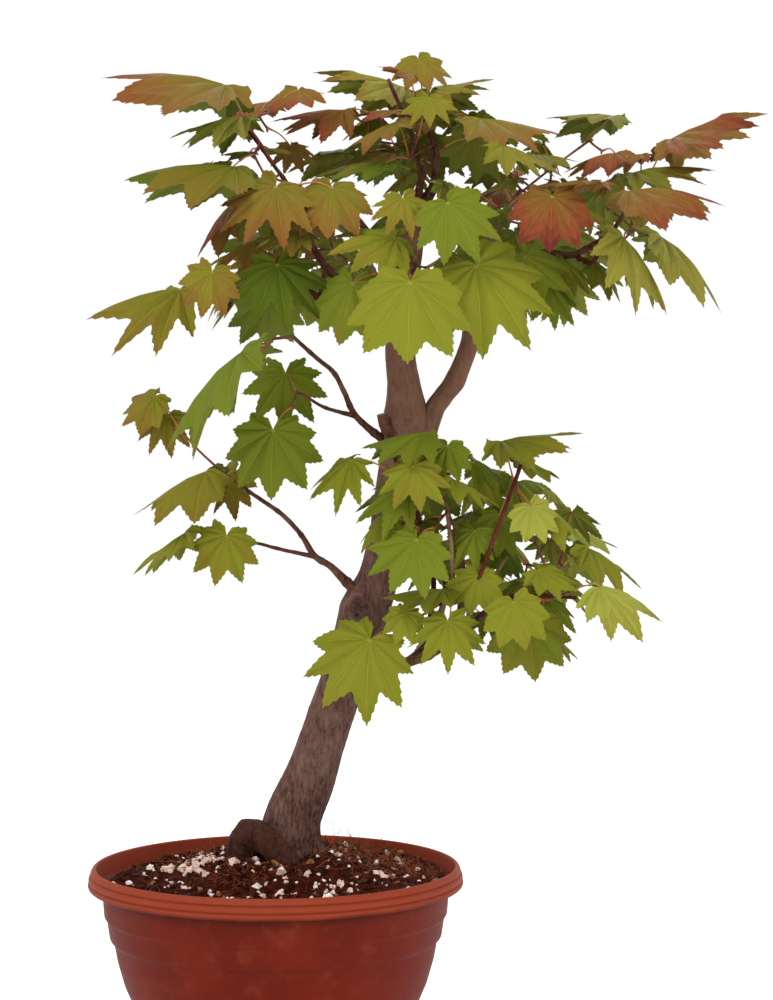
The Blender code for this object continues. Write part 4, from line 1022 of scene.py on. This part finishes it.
def make_right_limb(finish):
    """The second stem: a tube that starts inside the trunk under the fork and bends up to the right."""
    points = (*RIGHT_LIMB_START, *LIMBS["right_limb"]["line"], RIGHT_LIMB_END)
    rows, sides = 220, 64
    line, widths = dense_line(points, RIGHT_LIMB_THICK, rows)
    share, along = unrolled(rows, sides, RIGHT_LIMB_LENGTH)
    radii = widths[:, None] / 2 + bark_relief(share, along, 51, 14) * widths[:, None] / 26
    for place, reach, height in RIGHT_LIMB_RINGS:
        ring = height * swollen(along, place * RIGHT_LIMB_LENGTH, reach)
        radii = radii + ring * (0.7 + 0.3 * np.cos(share * 6.28 + place * 40))
    shell = Shell(swept(line, radii, sides))
    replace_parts(shell.make("right_limb_bark", finish, "bark"), "right_limb")


def bough_tube(name, number, stems):
    """A bough's bark from inside the limb that bears it to the heart of its mass of foliage, with a
    swollen collar, knuckled nodes and a ring of bark at each."""
    points = [Vector(place) for place in LIMBS[name]["line"]]
    thick = list(LIMBS[name]["thick"])
    if name in stems:
        points += stems[name].stem_line
        thick += [thick[-1] * 0.92, max(2.4, thick[-1] * 0.75), 2.3]
    rows, sides = 30 + 14 * len(points), 16
    line, widths = dense_line(points, thick, rows)
    length = float(np.linalg.norm(np.diff(line, axis=0), axis=1).sum())
    share, along = unrolled(rows, sides, length)
    radii = widths[:, None] / 2 * (1 + 0.05 * noise(share * 8, along / 9, 60 + number, 8))
    radii = radii + 0.10 * noise(share * 8, along / 3.0, 90 + number, 8)
    radii = radii * (1 + COLLAR[0] * swollen(along, 0, COLLAR[1] * widths[0]))
    first, step, end, swell, reach = NODE_RINGS
    for node in np.arange(first + 3 * (number % 4), length - end, step + 2 * (number % 5)):
        radii = radii + swell * widths[:, None] / 2 * swollen(along, node, reach)
    return swept(line, radii, sides)


def make_boughs(masses, finish, olive_finish):
    """The boughs, as one piece of brown bark and one of olive."""
    stems = {mass.rule["bough"]: mass for mass in masses}
    names = [name for name, rule in LIMBS.items() if "seat" in rule]
    tubes = {name: bough_tube(name, number, stems) for number, name in enumerate(names)}
    olive = Shell(*(tubes.pop(name) for name in OLIVE_BOUGHS))
    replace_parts(Shell(*tubes.values()).make("bough_bark", finish, "young_bark"), *tubes)
    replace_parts(olive.make("olive_bough_bark", olive_finish, "young_bark"), *OLIVE_BOUGHS)


def make_stubs(finishes):
    """The pruned twigs: straight slim tubes that end in a flat, pale cut."""
    shells, cuts = {kind: Shell() for kind in STUB_BARKS}, Shell()
    rows, sides = 36, 12
    share, along = unrolled(rows, sides, STUB_LENGTH)
    for number, (points, thick, kind) in enumerate(STUBS):
        line, widths = dense_line(points, np.linspace(*thick, len(points)), rows)
        radii = widths[:, None] / 2 + 0.12 * noise(share * 6, along / 4, 130 + number, 6)
        shells[kind].tube(swept(line, radii + 0.3 * swollen(along, STUB_RING, 2.0), sides))
        ahead = unit(line[-1] - line[-3])
        tip = line[-1] + ahead * np.array(CUT_PLACES)[:, None]
        cuts.tube(swept(tip, np.array(CUT_SHARES) * widths[-1] / 2, sides))
    for kind, shell in shells.items():
        shell.make("cut_twigs_" + kind, finishes[STUB_BARKS[kind]], "young_bark")
    cuts.make("cut_ends", finishes["cut_wood"], "bark")


def make_surface_root(finish):
    """The arching root: a knobbly tube with folds of bark, thickest at its crown."""
    rows, sides = 150, 64
    line, widths = dense_line(ROOT_LINE, ROOT_THICK, rows)
    share, along = unrolled(rows, sides, ROOT_LENGTH)
    knobs = 0.14 * noise(share * 5, along / 13, 71, 5) + 0.07 * noise(share * 12, along / 5, 72, 12)
    folds = 0.5 * noise(share * 26, along / 2.4, 73, 26) + 0.35 * noise(share * 14, along / 1.6, 74, 14)
    radii = widths[:, None] / 2 * (1 + knobs) + folds
    shell = Shell(swept(line, radii, sides))
    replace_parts(shell.make("surface_root_bark", finish, "root_bark"), "surface_root")


# Pot and soil

# The pot's floor and its drain holes
FLOOR = 3.5
DRAIN_HOLES = 6
DRAIN_RADIUS = 5.0
DRAIN_CIRCLE = 58.0
# The pot's outline as (radius, height): up its stepped outside and over its grooved rim, then down inside
POT_OUTSIDE = (
    (0.5, 0.9), (60, 0.9), (62, 0), (80, 0), (83, 2), (95, 20), (107, 40), (115, 57), (121.5, 72),
    (127, 91), (129.6, 105), (130.9, 107.4), (133, 108.6), (135.3, 123.2), (136.2, 125.4), (137.5, 126.6),
    (139.3, 147), (140.6, 147.8), (147.4, 148), (150.3, 149.4), (150.7, 152.5), (148.5, 153.6),
    (150.2, 154.9), (149.8, 158), (147.3, 159.1), (148.7, 160.4), (147.5, 163.4), (145.6, 165),
    (143.9, 164),
)
POT_INSIDE = (
    (143, 150), (136.7, 146), (128, 106), (112.4, 57), (92.4, 20), (81.4, FLOOR), (0.5, FLOOR),
)
POT_ROUNDING = 1.3
# The soil: its edge and how far that rises towards the back and towards the right, the mound round the
# trunk's foot, and the wall of the mix as (radius, height)
SOIL_EDGE = 153.0
SOIL_RISE = (5.0, 3.0)
SOIL_RADIUS = 141.0
MOUND_CENTRE = (6.0, 34.0)
MOUND_FLAT = 46.0
MOUND_SLOPE = 60.0
SOIL_WALL = ((79, FLOOR + GAP), (91.3, 20), (111.3, 57), (126.9, 106), (134.4, 140))
BED_RADIUS = 135.6
# The lumps of the mix: how wide they are, the number that their chance starts from, and their height, and
# how far the bed is sunk under them
LUMPS = ((26, 81, 1.5), (9, 82, 1.3), (3.6, 83, 0.9), (1.7, 84, 0.45))
BED_SUNK = 0.4
# Where loose bits may lie, and the ring round the trunk's foot that they keep clear of
BITS_RADIUS = 131
TRUNK_FOOT = (8, 35)
FOOT_CLEAR = 31
# Heaps of bits: how many, and where they gather and how far they spread, if not all over the soil
PERLITE_HEAPS = ((170,), (60, (-58, 20), 16), (40, (30, -40), 30))
FIBRE_HEAPS = (
    (110,), (820, (62, 46), 28), (240, (-50, 52), 26), (260, (112, 8), 13), (150, (-22, -34), 13),
)
# Perlite: the middle and spread of its sizes, and the least and greatest. Fibres: their reach and radius
PERLITE_SPREAD = (0.58, 0.55)
PERLITE_SIZES = (0.7, 5.6)
FIBRE_REACH = (4, 15)
FIBRE_RADIUS = (0.17, 0.35)
# Other bits: heaps, least and greatest size, how much the sizes are spread upwards, shape, finish and seed
BITS = {
    "bark_chips": (((200,),), (1.2, 3.6), 1, (1.5, 0.9, 0.45), "bark_chip", 4),
    "soil_crumbs": (((1050,), (120, (-24, -32), 12)), (0.7, 2.5), 1.1, (1, 0.9, 0.8), "soil", 5),
    "tan_chips": (((44,),), (1.2, 4.4), 1, (1.1, 0.9, 0.7), "tan_chip", 6),
}


def eased(profile, size):
    """The profile with each corner rounded: three points on a curve that starts size before it."""
    points = [np.array(place, float) for place in profile]
    made = [points[0]]
    for before, corner, after in zip(points, points[1:], points[2:]):
        into, out = before - corner, after - corner
        reach = min(size, np.linalg.norm(into) * 0.45, np.linalg.norm(out) * 0.45)
        start, end = corner + unit(into) * reach, corner + unit(out) * reach
        made += [start, (start + end) / 4 + corner / 2, end]
    return np.array(made + [points[-1]])


def lathe(profile, sides):
    """The profile's radius and height carried round the axis: one ring of points for each place on it."""
    angle = turns(sides)
    radius, height = profile[:, 0, None], profile[:, 1, None]
    return np.stack([radius * np.cos(angle), radius * np.sin(angle), height + 0 * angle], -1)


def make_pot_shell(finish):
    """The pot's wall: stepped rings outside, a rolled rim with two grooves, and drain holes in its floor."""
    wall = lathe(eased(POT_OUTSIDE + POT_INSIDE, POT_ROUNDING), 256)
    pot = Shell(wall).make("pot_shell", finish, "pot_plastic")
    holes = Shell()
    for angle in turns(DRAIN_HOLES) + np.pi / DRAIN_HOLES:
        middle = np.array([math.cos(angle), math.sin(angle), 0]) * DRAIN_CIRCLE
        holes.tube(swept(middle + np.array([[0, 0, -5.0], [0, 0, 10.0]]), np.full(2, DRAIN_RADIUS), 24))
    cutter = holes.make("pot_holes", finish, "pot_plastic")
    carve = pot.modifiers.new("holes", "BOOLEAN")
    carve.operation, carve.object, carve.solver = "DIFFERENCE", cutter, "EXACT"
    carved = bpy.data.meshes.new_from_object(pot.evaluated_get(bpy.context.evaluated_depsgraph_get()))
    pot.modifiers.clear()
    pot.data = carved
    carved.shade_smooth()
    carved.set_sharp_from_angle(angle=math.radians(50))
    bpy.data.objects.remove(cutter)
    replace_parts(pot, "pot")


def soil_top(across, depth):
    """The soil's height over arrays of places: the mound of the solids with lumps and crumbs on it."""
    reach = np.hypot(across, depth) / SOIL_RADIUS
    back, right = SOIL_RISE
    edge = SOIL_EDGE + back * (depth / SOIL_RADIUS) + right * (across / SOIL_RADIUS) * reach
    from_mound = np.hypot(across - MOUND_CENTRE[0], depth - MOUND_CENTRE[1])
    share = np.clip((from_mound - MOUND_FLAT) / MOUND_SLOPE, 0, 1)
    share = share * share * (3 - 2 * share)
    smooth = (GROUND - GAP) * (1 - share) + edge * share
    a, b = across + 200, depth + 200
    return smooth + sum(noise(a / size, b / size, seed) * height for size, seed, height in LUMPS) - BED_SUNK


def make_soil_bed(finish):
    """The potting mix: its crumbly top as a height over rings of places, then its wall and its floor."""
    sides, rings = 372, 112
    share = np.linspace(1, 0.004, rings)[:, None]
    across, depth = BED_RADIUS * share * np.cos(turns(sides)), BED_RADIUS * share * np.sin(turns(sides))
    top = np.stack([across, depth, soil_top(across, depth)], -1)
    shell = Shell(np.concatenate([lathe(np.array(SOIL_WALL), sides), top]))
    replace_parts(shell.make("soil_bed", finish, "soil"), "soil")


def scattered(draw, count, middle=None, spread=30.0):
    """Random places on the soil, all over it or gathered about a middle, clear of the trunk's foot."""
    angle = draw.uniform(0, 2 * np.pi, count * 3)
    reach = BITS_RADIUS * np.sqrt(draw.uniform(0, 1, count * 3))
    place = np.stack([reach * np.cos(angle), reach * np.sin(angle)], 1)
    if middle is not None:
        place = np.array(middle) + draw.normal(0, spread, (count * 3, 2))
    clear = (np.hypot(*place.T) < BITS_RADIUS) & (np.hypot(*(place - TRUNK_FOOT).T) > FOOT_CLEAR)
    place = place[clear][:count]
    return np.column_stack([place, soil_top(place[:, 0], place[:, 1])])


def heaped(draw, heaps):
    """The places of several heaps of bits."""
    return np.concatenate([scattered(draw, *heap) for heap in heaps])


def fibre_line(draw, start):
    """A loose fibre's line: a straight run and a bend, both by chance, sagging but never below the soil."""
    way = draw.normal(size=3) * (1, 1, 0.35)
    way[2] = abs(way[2])
    bend = draw.normal(size=3) * 0.5
    reach = draw.uniform(*FIBRE_REACH)
    share = np.linspace(0, 1, 7)[:, None]
    sag = np.array([0, 0, -1.0]) * reach * 0.25 * share ** 2
    line = start + unit(way) * reach * share + bend * reach * share ** 2 + sag
    line[:, 2] = np.maximum(line[:, 2], soil_top(line[:, 0], line[:, 1]) - 0.2)
    return line


def make_soil_bits(finishes):
    """What lies in the mix: pale perlite, bark chips, clay crumbs and coconut fibres."""
    draw = np.random.default_rng(77)
    perlite = heaped(draw, PERLITE_HEAPS)
    size = np.clip(draw.lognormal(*PERLITE_SPREAD, len(perlite)), *PERLITE_SIZES)
    half = len(perlite) // 2
    made = [make_pebbles("perlite_pale", perlite[:half], size[:half], (1, 0.85, 0.75),
                         finishes["perlite_pale"], 1),
            make_pebbles("perlite_pink", perlite[half:], size[half:], (1, 0.9, 0.7),
                         finishes["perlite_pink"], 2)]
    for name, (heaps, sizes, power, shape, finish, seed) in BITS.items():
        places = heaped(draw, heaps)
        size = draw.uniform(*sizes, len(places)) ** power
        made.append(make_pebbles(name, places, size, shape, finishes[finish], seed))
    shell = Shell()
    for start in heaped(draw, FIBRE_HEAPS):
        line = fibre_line(draw, start)
        if (np.hypot(line[:, 0], line[:, 1]) < BITS_RADIUS + 2).all():
            shell.tube(swept(line, np.full(len(line), draw.uniform(*FIBRE_RADIUS)), 3))
    made.append(shell.make("coconut_fibres", finishes["fibre"], "soil"))
    for item in made:
        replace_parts(item, "soil")


# Finishes

# Barks: base, paler patches, dark streaks, flecks, and how far the flecks show
BARKS = {
    "bark": ("674A40", "86675C", "46302A", "A8988C", 0.2),
    "young_bark": ("5A3628", "7E5A48", "361E18", "A48C78", 0.25),
    "root_bark": ("42231A", "5A3526", "2C150E", "6A4C3E", 0.15),
    "olive_bark": ("66522F", "84704A", "40301C", "A49472", 0.2),
    "dark_stub": ("522018", "70362A", "30100C", "8E6656", 0.15),
    "pale_stub": ("8A6C4C", "AC8E6C", "604430", "C8B290", 0.25),
}
# Painted shade in the creases round the trunk's knots, each a place in metres and its reach, the colour of
# that painted shade and that of the stain at the trunk's foot, and the warmer colour above that
SHADED_CREASES = (((0.065, 0.001, 0.372), 0.017), ((0.089, -0.007, 0.512), 0.007))
CREASE_SHADE = "33201A"
STAIN = "34180F"
WARM_BARK = "94694E"
# Two shades clouded into each other: both, the clouds' size in metres, and the roughness
SPECKLED = {
    "cut_wood": ("B99A7C", "8E6A4E", 0.002, 0.8),
    "twig": ("5A2A1E", "7A4030", 0.004, 0.6),
    "petiole": ("A8602E", "A87A3A", 0.010, 0.55),
    "bud": ("7A2E22", "9A4A34", 0.002, 0.5),
    "perlite_pale": ("EFE6DC", "D6C6B8", 0.003, 0.95),
    "perlite_pink": ("E4CCC0", "C9A594", 0.003, 0.95),
    "bark_chip": ("26100A", "4A2416", 0.004, 0.9),
    "tan_chip": ("8E5E36", "6A3E22", 0.003, 0.85),
    "fibre": ("884620", "582A10", 0.01, 0.9),
}
# Roughness and shine of the leaves' upper sides and veins, and of their undersides
UPPER_GLOSS = (0.62, 0.05)
UNDER_GLOSS = (0.7, 0.04)
# How far the veins' colour is from their leaf's towards VEIN, on green and on turned leaves
PALE_VEINS = 0.42
PALE_TURNED_VEINS = 0.3


def linear(code):
    """A colour such as 8A7068 as linear red, green and blue."""
    parts = [int(code[place:place + 2], 16) / 255 for place in (0, 2, 4)]
    return tuple(part / 12.92 if part <= 0.04045 else ((part + 0.055) / 1.055) ** 2.4 for part in parts)


class Value:
    """A number that varies over a surface: sums and products of it add Math nodes to its finish."""

    def __init__(self, finish, socket):
        self.finish, self.socket = finish, socket

    def worked(self, operation, first, second):
        """What a Math node makes of two values."""
        return self.finish.node("ShaderNodeMath", {0: first, 1: second}, operation=operation)

    def __add__(self, other):
        return self.worked("ADD", self, other)

    def __rsub__(self, other):
        return self.worked("SUBTRACT", other, self)

    def __mul__(self, other):
        return self.worked("MULTIPLY", self, other)

    __radd__, __rmul__ = __add__, __mul__


class Finish:
    """A material worked out from places on the object."""

    def __init__(self, name, **fixed):
        self.material = bpy.data.materials.new(name)
        self.material.use_nodes = True
        self.tree = self.material.node_tree
        self.shader = self.tree.nodes["Principled BSDF"]
        self.place = self.node("ShaderNodeTexCoord", output="Object")
        for socket, value in fixed.items():
            self.set(socket.replace("_", " "), value)

    def node(self, kind, inputs=None, output=0, **settings):
        """A node of a type, with its settings and its sockets' values or links."""
        made = self.tree.nodes.new(kind)
        for key, value in settings.items():
            setattr(made, key, value)
        for key, value in (inputs or {}).items():
            self.feed(made.inputs[key], value)
        return Value(self, made.outputs[output])

    def feed(self, socket, value):
        """Links a varying value to a socket, or sets a fixed one. A colour can be given by its code."""
        if isinstance(value, Value):
            self.tree.links.new(value.socket, socket)
        elif socket.type == "RGBA":
            socket.default_value = (*(linear(value) if isinstance(value, str) else value), 1)
        else:
            socket.default_value = value

    def set(self, socket, value):
        """Feeds one of the shader's sockets."""
        self.feed(self.shader.inputs[socket], value)

    def scaled(self, size, stretch, seed=0.0):
        """Places measured in steps of size metres, stretched along x, y and z."""
        scale = tuple(1 / (size * part) for part in stretch)
        return self.node("ShaderNodeMapping", {"Vector": self.place, "Location": (seed,) * 3, "Scale": scale})

    def noise(self, size, detail=3.0, stretch=(1, 1, 1), roughness=0.55):
        """Soft noise from 0 to 1 whose lumps are about size metres across, stretched along x, y and z."""
        return self.node("ShaderNodeTexNoise", {"Vector": self.scaled(size, stretch), "Scale": 1.0,
                                                "Detail": detail, "Roughness": roughness})

    def spots(self, size, seed=0.0, stretch=(1, 1, 1)):
        """Distance from the middle of the nearest of many cells, each about size metres across."""
        inputs = {"Vector": self.scaled(size, stretch, seed), "Scale": 1.0}
        return self.node("ShaderNodeTexVoronoi", inputs, "Distance")

    def height(self):
        """How high a place is, in metres."""
        return self.node("ShaderNodeSeparateXYZ", {0: self.place}, "Z")

    def band(self, value, low, high):
        """0 below low, 1 above high, and smooth between, or the other way round."""
        ends = {1: low, 2: high, 3: 0.0, 4: 1.0} if low < high else {1: high, 2: low, 3: 1.0, 4: 0.0}
        return self.node("ShaderNodeMapRange", {0: value, **ends}, clamp=True,
                         interpolation_type="SMOOTHSTEP")

    def mix(self, share, first, second):
        """One colour going over into another."""
        return self.node("ShaderNodeMix", {0: share, 6: first, 7: second}, 2, data_type="RGBA")

    def done(self, tone, roughness, height, depth):
        """The finished material, with its colour, its roughness and a relief of depth metres."""
        self.set("Base Color", tone)
        self.set("Roughness", roughness)
        relief = self.node("ShaderNodeBump", {"Height": height, "Distance": depth, "Strength": 1.0})
        self.set("Normal", relief)
        return self.material


def bark_finish(name, shaded_creases=(), stain=None):
    """Smooth bark: long streaks of three browns, paler patches, rare pale flecks, painted shade in the
    wrinkled creases round knots, each a place and a reach, and a stain at the foot that fades out upwards,
    with warmer bark above it."""
    base, light, dark, fleck, fleck_share = BARKS[name]
    made = Finish(name, Specular_IOR_Level=0.12)
    streaks = made.noise(0.0028, 4, (1, 1, 3.2), 0.65)
    patches = made.noise(0.017, 4, (1, 1, 1.3))
    fine = made.noise(0.0011, 3, (1, 1, 2.6))
    level = made.noise(0.0016, 2, (1, 1, 0.35))
    tone = made.mix(made.band(streaks, 0.33, 0.60), dark, base)
    tone = made.mix(made.band(patches, 0.44, 0.72) * 0.5, tone, light)
    tone = made.mix(made.band(fine, 0.62, 0.78) * 0.45, tone, light)
    tone = made.mix(made.band(made.spots(0.0074, 3.1), 0.14, 0.08) * fleck_share, tone, fleck)
    tone = made.mix(made.band(level, 0.64, 0.76) * 0.35, tone, dark)
    if stain:
        height = made.height()
        tone = made.mix(made.band(height + 0.03 * patches, 0.44, 0.56) * 0.4, tone, WARM_BARK)
        low = made.band(height + 0.05 * streaks, 0.27, 0.19)
        tone = made.mix(low * (0.35 + 0.5 * made.band(streaks, 0.56, 0.42)), tone, stain)
    # Painted shade in the creases round each knot: the bark darkened towards the knot's place, more along the
    # level wrinkles
    for place, reach in shaded_creases:
        apart = made.node("ShaderNodeVectorMath", {0: made.place, 1: place}, "Value", operation="DISTANCE")
        wrinkled = made.band(apart + 0.008 * patches, reach, reach * 0.35)
        tone = made.mix(wrinkled * (0.25 + 0.75 * made.band(level, 0.42, 0.56)), tone, CREASE_SHADE)
    return made.done(tone, 0.86 - 0.18 * streaks, streaks + fine * 0.7 + level * 0.4, 0.0007)


def pot_finish():
    """Moulded terracotta-coloured plastic, dusty and with scuffs: paler on the rim as painted light on its
    lip, deeper below, and with a band of painted shade just under the rim.
    """
    made = Finish("pot_plastic", Specular_IOR_Level=0.1)
    height, cloud, grain = made.height(), made.noise(0.045, 4), made.noise(0.0012, 2)
    tone = made.mix(made.band(cloud, 0.35, 0.7), "5C1402", "681A05")
    # The upper rim painted paler: painted light on the top of the rolled lip
    rim = made.band(height + 0.004 * cloud, 0.1495, 0.1545)
    tone = made.mix(rim * 0.9, tone, "87361F")
    # A band just under the rim painted darker: painted shade where the rolled rim overhangs the wall
    tone = made.mix(made.band(height, 0.1405, 0.1475) * (1 - rim) * 0.55, tone, "340B04")
    dust = made.band(made.noise(0.016, 5), 0.50, 0.76)
    tone = made.mix(dust * 0.16, tone, "985440")
    marks = made.band(made.spots(0.023, 7.7, (1, 1, 1.8)), 0.040, 0.024)
    tone = made.mix(marks * 0.4, tone, "B89080")
    return made.done(tone, 0.56 + 0.18 * dust, grain * 0.5 + cloud, 0.00035)


def soil_finish():
    """Moist dark potting mix: near-black crumbs with red-brown and tan bits."""
    made = Finish("soil", Specular_IOR_Level=0.05)
    crumb, lumps, fine = made.spots(0.0032), made.noise(0.007, 5), made.noise(0.0012, 3)
    tone = made.mix(made.band(lumps, 0.34, 0.68), "220A04", "481809")
    tone = made.mix(made.band(fine, 0.58, 0.74) * 0.7, tone, "5E3422")
    tone = made.mix(made.band(made.spots(0.0075, 2.3), 0.16, 0.10) * 0.6, tone, "8A5A40")
    return made.done(tone, 0.98 - 0.12 * fine, crumb + fine * 0.6 + lumps, 0.0016)


def speckled_finish(name, first, second, size, rough):
    """Two shades of one colour, clouded into each other."""
    made = Finish(name, Specular_IOR_Level=0.3)
    cloud = made.noise(size, 3)
    tone = made.mix(made.band(cloud, 0.38, 0.64), first, second)
    return made.done(tone, rough - 0.12 * cloud, made.noise(size / 4, 2), size / 12)


def leaf_finish(name, tone, rough, shine):
    """One tint of a leaf: the tints have places, so each is one plain base colour, faintly wrinkled."""
    made = Finish(name, Specular_IOR_Level=shine)
    wrinkles = made.noise(0.0045, 3)
    return made.done(tone, rough - 0.12 + 0.24 * wrinkles, wrinkles, 0.0007)


def blend(first, second, share):
    """A colour between two, worked out as numbers."""
    return tuple(one * (1 - share) + other * share for one, other in zip(first, second))


def leaf_finishes():
    """For each kind of face, the name of its piece, its finish and its slot: each green at each step of its
    turn to russet, the veins and the undersides."""
    made = {}

    def add(kind, name, tone, slot, gloss=UPPER_GLOSS):
        """Enters one kind of face, with its finish made from the tone."""
        made[kind] = (name, leaf_finish(name, tone, *gloss), slot)

    for green, (name, code, slot) in enumerate(GREENS):
        way = [linear(part) for part in (code, *TURNED)]
        for step in range(TURNS):
            place = step / (TURNS - 1) * (len(way) - 1)
            low = min(int(place), len(way) - 2)
            tone = blend(way[low], way[low + 1], place - low)
            add(green * TURNS + step, f"leaves_{name}_{step}", tone, "leaf_russet" if step > 2 else slot)
        add(VEIN_KEY + green, f"veins_{name}", blend(way[0], linear(VEIN), PALE_VEINS), slot)
    for step, code in enumerate(TURNED):
        tone = blend(linear(code), linear(VEIN), PALE_TURNED_VEINS)
        add(VEIN_KEY + len(GREENS) + step, f"veins_turned_{step}", tone, "leaf_russet")
    for step, (name, code, slot) in enumerate(UNDERSIDES):
        add(UNDER_KEY + step, name, linear(code), slot, UNDER_GLOSS)
    return made


def make_finishes():
    """The finishes of wood, soil and small parts, by name."""
    made = {name: bark_finish(name) for name in BARKS if name != "bark"}
    made["bark"] = bark_finish("bark", SHADED_CREASES, STAIN)
    made.update({name: speckled_finish(name, *row) for name, row in SPECKLED.items()})
    made["soil"] = soil_finish()
    return made


# Studio

# How far the floor reaches, in metres, and the strength of the sky's light
FLOOR_REACH = 40.0
SKY = 1.0
# Each lamp: name, place, size and power. They all face the middle of the tree.
LAMPS = (("key", (-1.1, -1.7, 2.1), 1.3, 27.0), ("fill", (1.6, -1.5, 1.2), 1.6, 12.0),
         ("back", (0.4, 1.9, 1.9), 1.4, 16.0))
TREE_MIDDLE = (0.09, 0.0, 0.45)
# The camera stands level. The focal length, as worked out from the photo, and the photo's height are in
# pixels, and the sensor's height in millimetres.
CAMERA_PLACE = (0.0887, -1.65, 0.458)
FOCAL_PIXELS = 2047
PHOTO_HEIGHT = 1000
SENSOR = 36.0


def placed(name, data, location=(0, 0, 0), rotation=(0, 0, 0)):
    """An object in the scene that doesn't ride with the plant."""
    made = bpy.data.objects.new(name, data)
    made.location, made.rotation_euler = location, rotation
    bpy.context.scene.collection.objects.link(made)
    return made


def make_studio():
    """A pale floor, soft light from above and in front, and the camera level with the middle of the tree."""
    angle = turns(96)
    ring = np.stack([np.cos(angle), np.sin(angle), 0 * angle], 1) * FLOOR_REACH
    mesh = bpy.data.meshes.new("floor")
    mesh.from_pydata(ring.tolist(), [], [tuple(range(len(ring)))])
    made = Finish("floor", Roughness=0.9, Specular_IOR_Level=0.1, Emission_Color=(1.0, 1.0, 1.0),
                  Emission_Strength=0.16)
    made.set("Base Color", made.mix(made.noise(0.4, 2), (0.88, 0.88, 0.88), (0.91, 0.91, 0.91)))
    mesh.materials.append(made.material)
    placed("floor", mesh)
    world = bpy.data.worlds.new("studio")
    world.use_nodes = True
    sky = world.node_tree.nodes["Background"].inputs
    sky["Color"].default_value, sky["Strength"].default_value = (1, 1, 1, 1), SKY
    bpy.context.scene.world = world
    bpy.context.scene.view_settings.view_transform = "Standard"
    for name, place, size, power in LAMPS:
        lamp = bpy.data.lights.new(name, "AREA")
        lamp.size, lamp.energy = size, power
        way = Vector(TREE_MIDDLE) - Vector(place)
        placed(name, lamp, place, way.to_track_quat("-Z", "Y").to_euler())
    lens = bpy.data.cameras.new("camera")
    lens.sensor_width, lens.lens = SENSOR, SENSOR * FOCAL_PIXELS / PHOTO_HEIGHT
    bpy.context.scene.camera = placed("camera", lens, CAMERA_PLACE, (math.pi / 2, 0, 0))


def main():
    """Dresses the whole plant."""
    finishes = make_finishes()
    masses = grow_masses()
    make_trunk(finishes["bark"])
    make_right_limb(finishes["bark"])
    make_boughs(masses, finishes["young_bark"], finishes["olive_bark"])
    make_stubs(finishes)
    make_surface_root(finishes["root_bark"])
    make_twigs(masses, finishes)
    make_leaves(masses, leaf_finishes())
    make_pot_shell(pot_finish())
    make_soil_bed(finishes["soil"])
    make_soil_bits(finishes)
    make_studio()


main()
